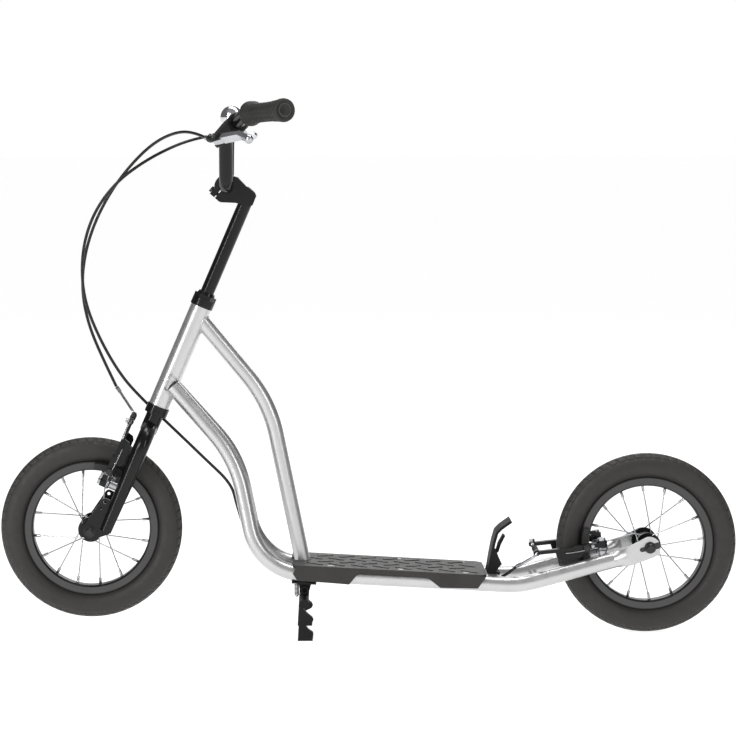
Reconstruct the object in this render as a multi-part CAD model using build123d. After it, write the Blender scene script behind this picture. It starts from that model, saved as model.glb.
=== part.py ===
"""Kick scooter with 12-inch spoked wheels, linear-pull brakes, a footboard between twin rails and a centre stand.

Units are millimetres and degrees. The front wheel is towards -X, up is +Z and the rider's left is towards -Y.
The scooter is laid out in its riding frame, with the footboard level. STAND_POSE then tips it nose-up about the
rear axle, as it stands on its centre stand, and puts the origin on the floor halfway between the axles.
Places on the fork and bar use steering coordinates: s up the steering axis, u forward of it and y sideways.
"""
from build123d import *
import os
from math import atan2, cos, degrees, radians, sin, sqrt

# ---------------------------------------------------------------- driving dimensions
STANCE = 3.3                    # nose-up lean on the centre stand
TYRE_R = 148.0                  # 47-203 tyre, outer radius
TYRE_HALF_WIDTH = 22.0
RIM_R = 109.0                   # rim flange, outer radius
RIM_INNER_R = 95.0
RIM_HALF_WIDTH = 14.0
SPOKES = 16
REAR_AXLE_X = 455.3             # riding frame
REAR_AXLE_Z = TYRE_R
HEAD_ANGLE = 20.0               # steering axis, from vertical
HEAD_X = -325.8                 # middle of the head tube
HEAD_Z = 413.3
HEAD_HALF = 88.3
HEAD_R = 17.0
FRONT_AXLE_S = -315.5
FRONT_AXLE_U = 22.9
TUBE_R = 12.7                   # 1 inch frame tubes
TUBE_WALL = 1.6
RAIL_Y = 55.0                   # footboard rails, centre line
RAIL_Z = 74.5
BLADE_Y = 52.0                  # fork blades, centre line
BAR_R = 11.1                    # 22.2 mm bar and quill
FIT = 0.05                      # radial running clearance of a shaft in its hole
SEAT = 0.02                     # radial gap of pieces that are clamped together
GAP = 0.3                       # between faces that pass each other
LEFT = -1
RIGHT = 1
SIDES = (LEFT, RIGHT)
SIDE_NAME = {LEFT: "left", RIGHT: "right"}

AXIS = Vector(sin(radians(HEAD_ANGLE)), 0, cos(radians(HEAD_ANGLE)))
FORWARD = Vector(-cos(radians(HEAD_ANGLE)), 0, sin(radians(HEAD_ANGLE)))
SIDEWAYS = Vector(0, 1, 0)
HEAD = Vector(HEAD_X, 0, HEAD_Z)
REAR_AXLE = Vector(REAR_AXLE_X, 0, REAR_AXLE_Z)


def steer(s, u=0.0, y=0.0):
    """Point at s up the steering axis from the head tube's middle, u forward of it and y sideways."""
    return HEAD + AXIS * s + FORWARD * u + SIDEWAYS * y


FRONT_AXLE = steer(FRONT_AXLE_S, FRONT_AXLE_U)
TIP = Rot(0, STANCE, 0)
WHEELBASE = (TIP * Pos(*(REAR_AXLE - FRONT_AXLE))).position.X
STAND_POSE = Pos(WHEELBASE / 2, 0, TYRE_R) * TIP * Pos(*(REAR_AXLE * -1))


# ---------------------------------------------------------------- shapes that repeat
def rod(start, end, radius, bore=0.0):
    """Cylinder from start to end, with an optional bore."""
    start, end = Vector(*start), Vector(*end)
    along = end - start
    plane = Plane(origin=start, z_dir=along)
    solid = Solid.make_cylinder(radius, along.length, plane)
    if bore:
        solid = solid - Solid.make_cylinder(bore, along.length, plane)
    return solid


def cone(start, end, start_radius, end_radius):
    """Truncated cone from start to end."""
    along = Vector(*end) - Vector(*start)
    return Solid.make_cone(start_radius, end_radius, along.length, Plane(origin=start, z_dir=along))


def cross_rod(centre, length, radius, bore=0.0):
    """Cylinder along Y, centred on a point."""
    half = SIDEWAYS * (length / 2)
    return rod(centre - half, centre + half, radius, bore)


def hexagon(start, end, across_flats):
    """Hexagonal prism from start to end, such as a nut or a bolt's head."""
    along = Vector(*end) - Vector(*start)
    outline = RegularPolygon(across_flats / 2, 6, major_radius=False)
    return extrude(Plane(origin=start, z_dir=along) * outline, along.length)


def tube(points, radii, outer, inner=0.0):
    """Round tube along straight runs joined by tangent arcs, one radius for each corner."""
    path = FilletPolyline(*points, radius=radii) if len(points) > 2 else Line(*points)
    start = Plane(origin=path @ 0, z_dir=path % 0)
    solid = sweep(start * Circle(outer), path)
    if inner:
        solid = solid - sweep(start * Circle(inner), path)
    return solid


def housing(points, radius):
    """Cable housing along a route, with arcs as large as the runs allow."""
    points = [Vector(*p) for p in points]
    radii = []
    for before, corner, after in zip(points, points[1:], points[2:]):
        runs = (corner - before), (after - corner)
        turn = radians(runs[0].get_angle(runs[1]))
        radii.append(0.45 * min(r.length for r in runs) / (sin(turn / 2) / cos(turn / 2)))
    return tube(points, radii, radius)


def link(plane, a, b, radius_a, radius_b, thickness):
    """Flat bar with round ends: the hull of two circles drawn on a plane, thickened to both sides."""
    ends = (Pos(*a) * Circle(radius_a)).edges() + (Pos(*b) * Circle(radius_b)).edges()
    return extrude(plane * make_hull(ends), thickness / 2, both=True)


def bent_bar(plane, rounds, thickness):
    """Flat bar through several circles, given as (x, y, radius) on a plane, thickened to both sides."""
    outline = None
    for (x0, y0, r0), (x1, y1, r1) in zip(rounds, rounds[1:]):
        part = make_hull((Pos(x0, y0) * Circle(r0)).edges() + (Pos(x1, y1) * Circle(r1)).edges())
        outline = part if outline is None else outline + part
    return extrude(plane * outline, thickness / 2, both=True)


def mirrored(shape):
    """The same piece on the other side of the scooter."""
    return shape.mirror(Plane.XZ)


def turned(profile, centre):
    """Solid of revolution about the wheel axis through centre, from a profile drawn as (y, radius)."""
    drawn = Plane(origin=centre, x_dir=(0, 1, 0), z_dir=(-1, 0, 0)) * profile
    return revolve(drawn, Axis(centre, (0, 1, 0)))


def fused(pieces):
    """One solid from pieces that are welded, moulded or forged together."""
    whole = pieces[0]
    for piece in pieces[1:]:
        whole = whole + piece
    return whole


# ---------------------------------------------------------------- wheels
TYRE_WALL = 3.0
CROWN_Z = TYRE_R - TYRE_HALF_WIDTH       # radius at which the tyre is widest
SIDEWALL_R = 17.4                        # sidewall arc, tangent to the crown
BEAD_Y = 11.0
BEAD_TOP_R = 109.8
BEAD_LOW_R = 102.4
HUB_FLANGE_R = 20.5
HUB_HOLE_R = 17.3
HUB_BARREL_R = 15.0
FLANGE_THICK = 3.0
AXLE_R = 5.0
BEARING_R = 11.0
SPOKE_R = 1.0
NIPPLE_R = 2.2
VALVE_R = 3.0
NUT_FLATS = 15.0


def tyre(centre):
    """Hollow tyre with a round crown, open between its two beads."""
    wide, side = TYRE_HALF_WIDTH, TYRE_HALF_WIDTH - SIDEWALL_R
    mid = radians(-33)
    outer = [
        CenterArc((0, CROWN_Z), wide, 0, 180),
        ThreePointArc(
            (wide, CROWN_Z),
            (side + SIDEWALL_R * cos(mid), CROWN_Z + SIDEWALL_R * sin(mid)),
            (BEAD_Y, BEAD_TOP_R),
        ),
        Line((BEAD_Y, BEAD_TOP_R), (BEAD_Y, BEAD_LOW_R)),
        Line((BEAD_Y, BEAD_LOW_R), (BEAD_Y - 4.5, BEAD_LOW_R)),
        Line((BEAD_Y - 4.5, BEAD_LOW_R), (BEAD_Y - 3.2, BEAD_TOP_R + 1.5)),
        ThreePointArc(
            (BEAD_Y - 3.2, BEAD_TOP_R + 1.5),
            (side + (SIDEWALL_R - TYRE_WALL) * cos(mid), CROWN_Z + (SIDEWALL_R - TYRE_WALL) * sin(mid)),
            (wide - TYRE_WALL, CROWN_Z),
        ),
        CenterArc((0, CROWN_Z), wide - TYRE_WALL, 0, 180),
    ]
    mirrored_part = [edge.mirror(Plane.YZ) for edge in outer[1:6]]
    return turned(make_face(outer + mirrored_part), centre)


def inner_tube(centre, valve_angle):
    """Air tube with its valve, which comes out through the rim towards the hub."""
    ring_r = 127.0
    ring = turned(Pos(0, ring_r) * (Circle(16.0) - Circle(14.6)), centre)
    outward = Vector(cos(radians(valve_angle)), 0, sin(radians(valve_angle)))
    valve = rod(centre + outward * 78, centre + outward * (ring_r - 15.4), VALVE_R)
    return ring + valve


def rim(centre, valve_angle):
    """Single-wall rim with brake tracks and a hole for the valve."""
    w = RIM_HALF_WIDTH
    profile = Polyline(
        (-w, RIM_R), (-w + 2.8, RIM_R), (-w + 2.8, 102.0), (-7, 100.2), (7, 100.2), (w - 2.8, 102.0),
        (w - 2.8, RIM_R), (w, RIM_R), (w, 97.5), (w - 4, RIM_INNER_R), (-w + 4, RIM_INNER_R), (-w, 97.5),
        close=True,
    )
    ring = turned(make_face(profile), centre)
    outward = Vector(cos(radians(valve_angle)), 0, sin(radians(valve_angle)))
    return ring - rod(centre + outward * 88, centre + outward * 106, VALVE_R + 0.3)


def spokes(centre, flange_y, phase):
    """Sixteen crossed spokes with their nipples. Each flange takes every other spoke."""
    group = []
    for k in range(SPOKES):
        rim_angle = radians(phase + 360 / SPOKES * k)
        side = SIDES[k % 2]
        lead = -1 if (k // 2) % 2 else 1
        hub_angle = rim_angle + lead * radians(720 / SPOKES)
        out_r = Vector(cos(rim_angle), 0, sin(rim_angle))
        hub_r = Vector(cos(hub_angle), 0, sin(hub_angle))
        rim_end = centre + out_r * (RIM_INNER_R + 0.2) + SIDEWAYS * (side * 2.0)
        hub_end = centre + hub_r * HUB_HOLE_R + SIDEWAYS * (side * (flange_y + lead * 2.4))
        inward = (hub_end - rim_end).normalized()
        nipple_end = rim_end + inward * 11
        group.append(rod(hub_end, nipple_end, SPOKE_R) + rod(nipple_end, rim_end, NIPPLE_R))
    return Compound(group)


def hub(centre, flange_y):
    """Hub shell with two spoke flanges and pockets for the bearings."""
    half = flange_y + 6
    shell = cross_rod(centre, 2 * half, HUB_BARREL_R)
    for side in SIDES:
        middle = centre + SIDEWAYS * (side * flange_y)
        shell = shell + cross_rod(middle, FLANGE_THICK, HUB_FLANGE_R)
    shell = shell - cross_rod(centre, 2 * half, AXLE_R + 1.5)
    for side in SIDES:
        mouth = centre + SIDEWAYS * (side * half)
        shell = shell - cross_rod(mouth, 18, BEARING_R + FIT)
    return shell


def axle_set(centre, flange_y, plate_y, plate_thick, tab=None):
    """Fixed axle with a cone bearing, washer and nut at each end: the hub turns round the cones.

    A tab washer, given by its direction, also covers the dropout's slot.
    """
    end_y = plate_y + plate_thick / 2
    pieces = [cross_rod(centre, 2 * (end_y + 13), AXLE_R)]
    for side in SIDES:
        out = SIDEWAYS * side
        cone_in = centre + out * (flange_y - 2.5)
        cone_mid = centre + out * (flange_y + 7)
        cone_out = centre + out * (plate_y - plate_thick / 2)
        face = centre + out * end_y
        race = rod(cone_in, cone_mid, BEARING_R, AXLE_R + SEAT)
        lock = rod(cone_mid, cone_out, 8.5, AXLE_R + SEAT)
        washer = rod(face, face + out * 1.5, 9.5)
        if tab:
            face_plane = Plane(origin=(0, face.Y + side * 0.75, 0), x_dir=(1, 0, 0), z_dir=(0, -1, 0))
            low, high = centre - tab * 14, centre + tab * 12.5
            washer = washer + link(face_plane, (low.X, low.Z), (high.X, high.Z), 3.4, 5.0, 1.5)
        washer = washer - cross_rod(centre, 400, AXLE_R + SEAT)
        nut = hexagon(face + out * 1.5, face + out * 9, NUT_FLATS)
        cap = nut + cone(face + out * 9, face + out * 11, 7.2, 5.6)
        pieces += [race + lock, washer, cap - cross_rod(centre, 400, AXLE_R + SEAT)]
    return Compound(pieces)


# ---------------------------------------------------------------- frame
UPPER_TOP = Vector(-301.2, 0, 481.0)
UPPER_KNEE = Vector(-176.6, 0, 346.2)
UPPER_FOOT = Vector(-101.6, 0, 66.2)
UPPER_BEND_R = 225.0
LOWER_TOP = Vector(-334.5, 13.2, 364.0)
LOWER_KNEE = Vector(-225.2, 30.0, 252.4)
LOWER_HEEL = Vector(-178.2, RAIL_Y, RAIL_Z)
STAY_KNEE = Vector(246.8, RAIL_Y, RAIL_Z)
STAY_ANGLE = 18.2
LOWER_BEND_R = 205.0
HEEL_BEND_R = 92.0
STAY_BEND_R = 150.0
DROPOUT_THICK = 6.0
STAY_END_X = 398.0
PLATE_Z = 64.0                   # cross plates between the rails
PLATE_THICK = 4.0
STRAP_Z = 84.6                   # strap that carries the heel guard
CUP_LIP = 8.6
CUP_R = 18.8
STAY = Vector(cos(radians(STAY_ANGLE)), 0, sin(radians(STAY_ANGLE)))


def on_side(point, side):
    """A point laid out for the right-hand side, on the wanted side."""
    return Vector(point.X, point.Y * side, point.Z)


def head_tube():
    """Head tube, open for the steerer."""
    return rod(steer(-HEAD_HALF), steer(HEAD_HALF), HEAD_R, 15.0)


def head_cutter():
    """What the frame tubes are mitred to at the head tube."""
    return rod(steer(-HEAD_HALF - 30), steer(HEAD_HALF + 30), HEAD_R)


def upper_tube():
    """Single tube from the top of the head tube down to the front cross plate."""
    whole = tube([UPPER_TOP, UPPER_KNEE, UPPER_FOOT], [UPPER_BEND_R], TUBE_R, TUBE_R - TUBE_WALL)
    floor = Pos(UPPER_FOOT.X, 0, PLATE_Z + PLATE_THICK / 2 - 20) * Box(80, 60, 40)
    return whole - head_cutter() - floor


def stay_point(x):
    """Point on the centre line of the right-hand rear stay."""
    return STAY_KNEE + STAY * ((x - STAY_KNEE.X) / STAY.X)


def lower_route(side):
    """Corners of one lower tube, from the head tube to the end of its round part."""
    corners = [LOWER_TOP, LOWER_KNEE, LOWER_HEEL, STAY_KNEE, stay_point(STAY_END_X)]
    return [on_side(p, side) for p in corners]


def lower_tube(side):
    """Bent tube under the footboard, flattened into a slotted dropout at the rear axle."""
    bends = [LOWER_BEND_R, HEEL_BEND_R, STAY_BEND_R]
    whole = tube(lower_route(side), bends, TUBE_R, TUBE_R - TUBE_WALL) - head_cutter()
    start = on_side(stay_point(STAY_END_X), side)
    flat_start = start + STAY * 26
    round_end = Plane(origin=start, x_dir=SIDEWAYS, z_dir=STAY) * Circle(TUBE_R)
    flat_end = Plane(origin=flat_start, x_dir=SIDEWAYS, z_dir=STAY) * RectangleRounded(DROPOUT_THICK, 32, 2.9)
    crimp = loft([round_end, flat_end])
    wheel_plane = Plane(origin=(0, RAIL_Y * side, 0), x_dir=(1, 0, 0), z_dir=(0, -1, 0))
    web = link(
        wheel_plane, (flat_start.X + 2, flat_start.Z), (REAR_AXLE_X, REAR_AXLE_Z), 15.0, 17.0, DROPOUT_THICK
    )
    behind = Plane(origin=flat_start, z_dir=STAY)
    web = split(web, behind, keep=Keep.TOP)
    slot_end = REAR_AXLE + STAY * 30
    slot = link(
        wheel_plane, (REAR_AXLE_X, REAR_AXLE_Z), (slot_end.X, slot_end.Z),
        AXLE_R + 0.1, AXLE_R + 0.1, DROPOUT_THICK + 2,
    )
    tube_with_end = whole + crimp + (web - slot)
    for x in SCREW_X:
        tube_with_end = tube_with_end - Pos(x, RAIL_Y * side, PAD_TOP_Z - 7) * Cylinder(2.5 + SEAT, 12)
    return tube_with_end


def between_rails(x, z, length, thick):
    """Flat bar across both rails, coped to them."""
    bar = Pos(x, 0, z) * Box(length, 2 * RAIL_Y, thick)
    for side in SIDES:
        rail = rod((x - length, RAIL_Y * side, RAIL_Z), (x + length, RAIL_Y * side, RAIL_Z), TUBE_R)
        bar = bar - rail
    return bar


def cross_plates():
    """Steel plates between the rails: three under the footboard and the strap for the heel guard."""
    lower = [between_rails(x, PLATE_Z, 46, PLATE_THICK) for x in (-102, 30, 150)]
    strap = between_rails(GUARD_FOOT_X, STRAP_Z, 20, 3.0)
    for side in SIDES:
        strap = strap - Pos(GUARD_FOOT_X, GUARD_BOLT_Y * side, STRAP_Z) * Cylinder(2.5 + SEAT, 12)
    bridge_at = stay_point(276)
    bridge_span = 2 * (RAIL_Y - TUBE_R + 4)
    bridge = cross_rod(Vector(bridge_at.X, 0, bridge_at.Z - 5), bridge_span, 6.0)
    for side in SIDES:
        ends = [on_side(stay_point(x), side) for x in (250, 310)]
        bridge = bridge - rod(ends[0], ends[1], TUBE_R)
    return Compound(lower + [strap, bridge])


def headset_cups():
    """Cups pressed into the head tube, each with its bearing ring."""
    pieces = []
    for end in SIDES:
        face = HEAD_HALF * end
        lip = face + CUP_LIP * end
        flange = rod(steer(face), steer(lip), CUP_R, CUP_R - 2.5)
        skirt = rod(steer(face), steer(face - 9 * end), 15.0, 13.2)
        shoulder = rod(steer(face), steer(face + 2 * end), CUP_R - 1.0, 13.2)
        ring = rod(steer(face + 2 * end), steer(lip - GAP * end), CUP_R - 2.5, TUBE_R + FIT)
        pieces += [flange + skirt + shoulder, ring]
    return Compound(pieces)


# ---------------------------------------------------------------- footboard and heel guard
PAD_FRONT_X = -124.0
PAD_REAR_X = 191.6
PAD_TOP_Z = 90.6
PAD_THICK = 3.2
PAD_HALF_WIDTH = 71.0
SKIRT_THICK = 2.9
RIB_HEIGHT = 1.0
SCREW_X = (-62.0, 52.0, 158.0)


def footboard():
    """Plastic pad that lies on the rails, with side skirts that leave the middle of each rail in view."""
    length = PAD_REAR_X - PAD_FRONT_X
    middle = (PAD_REAR_X + PAD_FRONT_X) / 2
    outline = RectangleRounded(length, 2 * PAD_HALF_WIDTH, 14)
    top = extrude(Pos(middle, 0, PAD_TOP_Z - PAD_THICK) * outline, PAD_THICK)
    skirt_outline = Polyline(
        (PAD_FRONT_X + 6, 88), (PAD_FRONT_X + 1, 76), (PAD_FRONT_X + 8, 66), (-31, 63.5), (-17, 82.5), (94, 82.5),
        (117, 66), (178, 68), (PAD_REAR_X - 1, 88), close=True,
    )
    skirt_face = Plane(origin=(0, PAD_HALF_WIDTH, 0), x_dir=(1, 0, 0), z_dir=(0, -1, 0)) * make_face(skirt_outline)
    skirt = extrude(skirt_face, SKIRT_THICK)
    pad = top + skirt + mirrored(skirt)
    for row, y in enumerate((-44, -15, 15, 44)):
        for k in range(8):
            x = -88 + 36 * k + (18 if row % 2 else 0)
            if x > 168:
                continue
            lean = 32 if row % 2 else -32
            rib = extrude(SlotOverall(30, 7), RIB_HEIGHT + 0.5)
            pad = pad + Pos(x, y, PAD_TOP_Z - 0.5) * Rot(0, 0, lean) * rib
    notch_at = UPPER_FOOT + (UPPER_KNEE - UPPER_FOOT).normalized() * 24
    notch = Pos(notch_at.X - 25, 0, PAD_TOP_Z) * Box(50, 2 * TUBE_R + 2.4, 20)
    hole = Pos(notch_at.X, 0, PAD_TOP_Z) * Cylinder(TUBE_R + 1.6, 20)
    pad = pad - notch - hole
    for side in SIDES:
        rail = tube(lower_route(side), [LOWER_BEND_R, HEEL_BEND_R, STAY_BEND_R], TUBE_R + 0.25)
        pad = pad - rail
    for x in SCREW_X:
        for side in SIDES:
            pad = pad - Pos(x, RAIL_Y * side, PAD_TOP_Z) * Cylinder(2.6, 12)
            pad = pad - Pos(x, RAIL_Y * side, PAD_TOP_Z - 1.2) * Cone(2.6, 5.2, 2.6)
    return pad


def deck_screws():
    """Countersunk screws of the footboard and the two bolts of the heel guard."""
    group = []
    for x in SCREW_X:
        for side in SIDES:
            head = Pos(x, RAIL_Y * side, PAD_TOP_Z - 1.2) * Cone(2.5, 5.0, 2.4)
            shank = Pos(x, RAIL_Y * side, PAD_TOP_Z - 7) * Cylinder(2.5, 10)
            group.append(head + shank)
    for side in SIDES:
        y = GUARD_BOLT_Y * side
        foot_top = Vector(GUARD_FOOT_X, y, GUARD_FOOT_Z + GUARD_THICK)
        shank = rod(foot_top - Vector(0, 0, 8), foot_top, 2.5)
        group.append(shank + hexagon(foot_top, foot_top + Vector(0, 0, 3.5), 8))
    return Compound(group)


GUARD_FOOT_X = 206.5
GUARD_FOOT_Z = 86.15
GUARD_BOLT_Y = 15.0
GUARD_THICK = 3.0
GUARD_HALF_WIDTH = 25.0
# outlines (x, z) seen from the side
GUARD_WALL = [
    (195.5, 86.15), (198, 112), (201.4, 137.5), (205.3, 154.5), (212.9, 163), (228.5, 175.5),
    (231.1, 172.2), (215.4, 159.6), (209.4, 152.6), (205.8, 136.8), (202.4, 111.6), (199.9, 86.15),
]
GUSSET = [
    (196.5, 86.15), (199, 112), (203, 131), (206.4, 127), (212.8, 113.4), (218.3, 102.9), (211, 93.5), (210, 86.15),
]
PRONG = [
    (199, 117), (209, 117), (213, 121.5), (215.4, 132), (222, 147.5), (219, 149), (211.6, 133.5), (209, 121),
    (199, 121),
]


def side_profile(points, y, width):
    """Slab of the given width about y, from its outline seen from the side."""
    plane = Plane(origin=(0, y + width / 2, 0), x_dir=(1, 0, 0), z_dir=(0, -1, 0))
    return extrude(plane * make_face(Polyline(*points, close=True)), width)


def heel_guard():
    """Black bent strip that keeps the heel off the rear tyre, with two gussets and a prong behind it."""
    wall = side_profile(GUARD_WALL, 0, 2 * GUARD_HALF_WIDTH)
    foot_at = Pos(GUARD_FOOT_X - 0.5, 0, GUARD_FOOT_Z + GUARD_THICK / 2)
    foot = foot_at * Box(20, 2 * GUARD_HALF_WIDTH, GUARD_THICK)
    gussets = [
        side_profile(GUSSET, (GUARD_HALF_WIDTH - GUARD_THICK / 2) * side, GUARD_THICK) for side in SIDES
    ]
    guard = fused([wall, foot, side_profile(PRONG, 0, 22)] + gussets)
    for side in SIDES:
        bolt_hole = Pos(GUARD_FOOT_X, GUARD_BOLT_Y * side, GUARD_FOOT_Z) * Cylinder(2.5 + SEAT, 20)
        guard = guard - bolt_hole
    return guard


# ---------------------------------------------------------------- centre stand
STAND_PIVOT = Vector(-102.0, 0, 44.0)
STAND_FOOT_Y = 68.0
BRACKET_X = (-124.0, -84.0)
BRACKET_THICK = 3.0
EAR_Y = 24.0


def stand_bracket():
    """Plate welded under the rails, two ears and the pivot bolt with its nut."""
    top = RAIL_Z - TUBE_R
    plate = Pos(sum(BRACKET_X) / 2, 0, top - BRACKET_THICK / 2) * Box(
        BRACKET_X[1] - BRACKET_X[0], 2 * (RAIL_Y + 7), BRACKET_THICK
    )
    ears = []
    for side in SIDES:
        plane = Plane(origin=(0, EAR_Y * side, 0), x_dir=(1, 0, 0), z_dir=(0, -1, 0))
        ears.append(link(plane, (STAND_PIVOT.X, STAND_PIVOT.Z), (STAND_PIVOT.X, 57.8), 8, 11, 3.5))
    bracket = fused([plate] + ears)
    ceiling = Pos(STAND_PIVOT.X, 0, top + 20) * Box(100, 100, 40)
    bracket = bracket - ceiling - cross_rod(STAND_PIVOT, 100, 4.0 + SEAT)
    bolt = cross_rod(STAND_PIVOT, 2 * EAR_Y + 6, 4.0)
    head = hexagon(STAND_PIVOT + SIDEWAYS * (EAR_Y + 1.8), STAND_PIVOT + SIDEWAYS * (EAR_Y + 7), 12)
    nut = hexagon(STAND_PIVOT - SIDEWAYS * (EAR_Y + 1.8), STAND_PIVOT - SIDEWAYS * (EAR_Y + 8), 12)
    return Compound([bracket, fused([bolt, head]), nut - cross_rod(STAND_PIVOT, 100, 4.0 + SEAT)])


FOOT_SIDE = [                    # (x, z) corners of a foot, with its two teeth towards the rear
    (-109.0, 33), (-104.6, 24), (-98, 14.5), (-87.4, 6.8), (-85.4, 3.0), (-87.6, -1.6), (-97.5, -7.1),
    (-93, -13.0), (-85.2, -17.6), (-84.2, -20.6), (-86.2, -50), (-109.0, -50),
]
LEG_R = 7.0
LEG_Z = STAND_PIVOT.Z - 15.5     # the legs pass just under the bracket's ears


def stand():
    """Pivot sleeve with two legs that run out to toothed feet, which are cut flat where they meet the floor."""
    sleeve = cross_rod(STAND_PIVOT, 2 * (EAR_Y - 2.1), 8.0)
    pieces = [sleeve]
    for side in SIDES:
        hip = Vector(STAND_PIVOT.X + 1, side * 13, STAND_PIVOT.Z)
        knee = Vector(STAND_PIVOT.X + 1, side * 13, LEG_Z)
        leg_end = Vector(STAND_PIVOT.X + 1, side * (STAND_FOOT_Y + 5), LEG_Z)
        pieces.append(tube([hip, knee, leg_end], [9], LEG_R))
        pieces.append(side_profile(FOOT_SIDE, side * STAND_FOOT_Y, 12))
    legs = fused(pieces) - cross_rod(STAND_PIVOT, 100, 4.0 + FIT)
    floor = STAND_POSE.inverse() * Pos(0, 0, -200) * Box(2000, 600, 400)
    return legs - floor


def stand_spring():
    """Return spring beside the stand's sleeve, from the bracket to the left leg, as the cylinder it fills."""
    top = Vector(BRACKET_X[0] + 8, -12, 58.0)
    low = Vector(STAND_PIVOT.X - 11.8, -12, 28)
    return rod(low, top, 4.0, 2.6)


# ---------------------------------------------------------------- fork and steering
STEERER_R = 12.7
QUILL_BORE_R = BAR_R + FIT
CROWN_S = -126.0
BLADE_BEND_S = -140.0
BLADE_CONE_S = -190.0
BLADE_END_S = -305.0
BLADE_END_R = 9.7
FORK_PLATE = 5.0
CROWN_BEND_R = 34.0
LUG_R = 14.0
CROWN_RACE_S = 103.5
STACK_TOP_S = 108.4
EYELETS = ((-261.5, 19.0, 6.5, 2.6), (-273.0, 20.5, 6.5, 2.0))   # s, u, outer and hole radius


def fork_steerer():
    """Steerer tube with the crown lug that the blades are brazed to."""
    shaft = rod(steer(-132), steer(STACK_TOP_S - 3), STEERER_R)
    lug = rod(steer(-134), steer(-CROWN_RACE_S), LUG_R)
    return fused([shaft, lug]) - rod(steer(-140), steer(130), QUILL_BORE_R)


def fork_blade(side):
    """Blade that curves out from the crown and runs down beside the wheel to a slotted dropout."""
    start = steer(CROWN_S, 0, side * 0.3)
    corner = steer(BLADE_BEND_S, 0, side * BLADE_Y)
    middle = steer(BLADE_CONE_S, 0, side * BLADE_Y)
    end = steer(BLADE_END_S, 0, side * BLADE_Y)
    upper = tube([start, corner, middle], [CROWN_BEND_R], TUBE_R, TUBE_R - 2.0)
    lower = cone(end, middle, BLADE_END_R, TUBE_R) - cone(
        end + AXIS * 4, middle, BLADE_END_R - 2.0, TUBE_R - 2.0
    )
    other_half = Pos(HEAD_X, -side * 40, HEAD_Z - 120) * Box(200, 80, 200)
    blade = fused([upper, lower]) - other_half - rod(steer(-134), steer(-90), LUG_R)
    plane = Plane(origin=(0, side * BLADE_Y, 0), x_dir=(1, 0, 0), z_dir=(0, -1, 0))
    rounds = [(BLADE_END_S + 3, 1, 9.5), (EYELETS[0][0], 2, 6.0), (FRONT_AXLE_S, FRONT_AXLE_U, 13.5)]
    rounds += [(s, u, outer) for s, u, outer, hole in EYELETS]
    outline = []
    for s, u, outer in rounds:
        at = steer(s, u)
        outline += (Pos(at.X, at.Z) * Circle(outer)).edges()
    plate = extrude(plane * make_hull(outline), FORK_PLATE / 2, both=True)
    for s, u, outer, hole in EYELETS:
        plate = plate - cross_rod(steer(s, u, side * BLADE_Y), 20, hole)
    slot_dir = (FORWARD * 0.6 - AXIS).normalized()
    slot_end = FRONT_AXLE + slot_dir * 25
    slot = link(
        plane, (FRONT_AXLE.X, FRONT_AXLE.Z), (slot_end.X, slot_end.Z), AXLE_R + 0.1, AXLE_R + 0.1, FORK_PLATE + 2
    )
    inside = rod(end + AXIS * 4, middle, BLADE_END_R - 2.0)
    return fused([blade, plate - inside]) - slot


def headset_races():
    """Crown race under the lower bearing, adjusting race above the upper one, and the locknut."""
    lip = HEAD_HALF + CUP_LIP + GAP
    crown_race = rod(steer(-CROWN_RACE_S), steer(-lip), CUP_R, STEERER_R + SEAT)
    race = rod(steer(lip), steer(lip + 4.2), CUP_R, STEERER_R + SEAT)
    nut = hexagon(steer(lip + 4.3), steer(STACK_TOP_S), 32) - rod(steer(90), steer(120), STEERER_R + SEAT)
    skirt = cone(steer(STACK_TOP_S), steer(STACK_TOP_S + 5), 15.0, 13.2) - rod(steer(100), steer(120), BAR_R + 0.4)
    return Compound([crown_race, race, nut, skirt])


GUIDE_AT = Vector(-362.5, 25.2, 317.8)
GUIDE_DIR = Vector(0.7594, 0.0, -0.6503).normalized()


def fork_cable_guide():
    """Eye on the right of the crown that leads the rear brake's housing past the head tube."""
    eye = rod(GUIDE_AT - GUIDE_DIR * 6, GUIDE_AT + GUIDE_DIR * 6, 4.5)
    stalk = rod(GUIDE_AT - AXIS * 2, GUIDE_AT - AXIS * 24, 2.2)
    blade_path = [
        steer(CROWN_S, 0, 0.3), steer(BLADE_BEND_S, 0, BLADE_Y), steer(BLADE_CONE_S, 0, BLADE_Y),
    ]
    bore = rod(GUIDE_AT - GUIDE_DIR * 9, GUIDE_AT + GUIDE_DIR * 9, CABLE_R + FIT)
    return fused([eye, stalk]) - bore - tube(blade_path, [CROWN_BEND_R], TUBE_R)


# ---------------------------------------------------------------- brakes
FRONT_PIVOT_S = -232.1
FRONT_PIVOT_U = 31.5
BRAKE_Y = 45.0
REAR_PIVOT = Vector(378.0, 0, 145.6)
REAR_ARM_DROP = 9.4              # the rear arms point forward and this far below level
ARM_LENGTH = 108.0
ARM_TIP_Y = 46.5
ARM_THICK = 6.0
POST_R = 4.0
SHOE_IN = 103.0                  # radius of the middle of the brake track
FRONT_SHOE_Y = 15.7
REAR_SHOE_Y = 16.1
SHOE_THICK = 8.5
NOODLE_R = 2.4
CABLE_R = 2.5

FRONT_BRAKE = Plane(origin=steer(FRONT_PIVOT_S, FRONT_PIVOT_U), x_dir=SIDEWAYS, z_dir=FORWARD)
REAR_ARM = Vector(-cos(radians(REAR_ARM_DROP)), 0, -sin(radians(REAR_ARM_DROP)))
REAR_UP = Vector(-sin(radians(REAR_ARM_DROP)), 0, cos(radians(REAR_ARM_DROP)))
REAR_BRAKE = Plane(origin=REAR_PIVOT, x_dir=SIDEWAYS, z_dir=REAR_UP)


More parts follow.
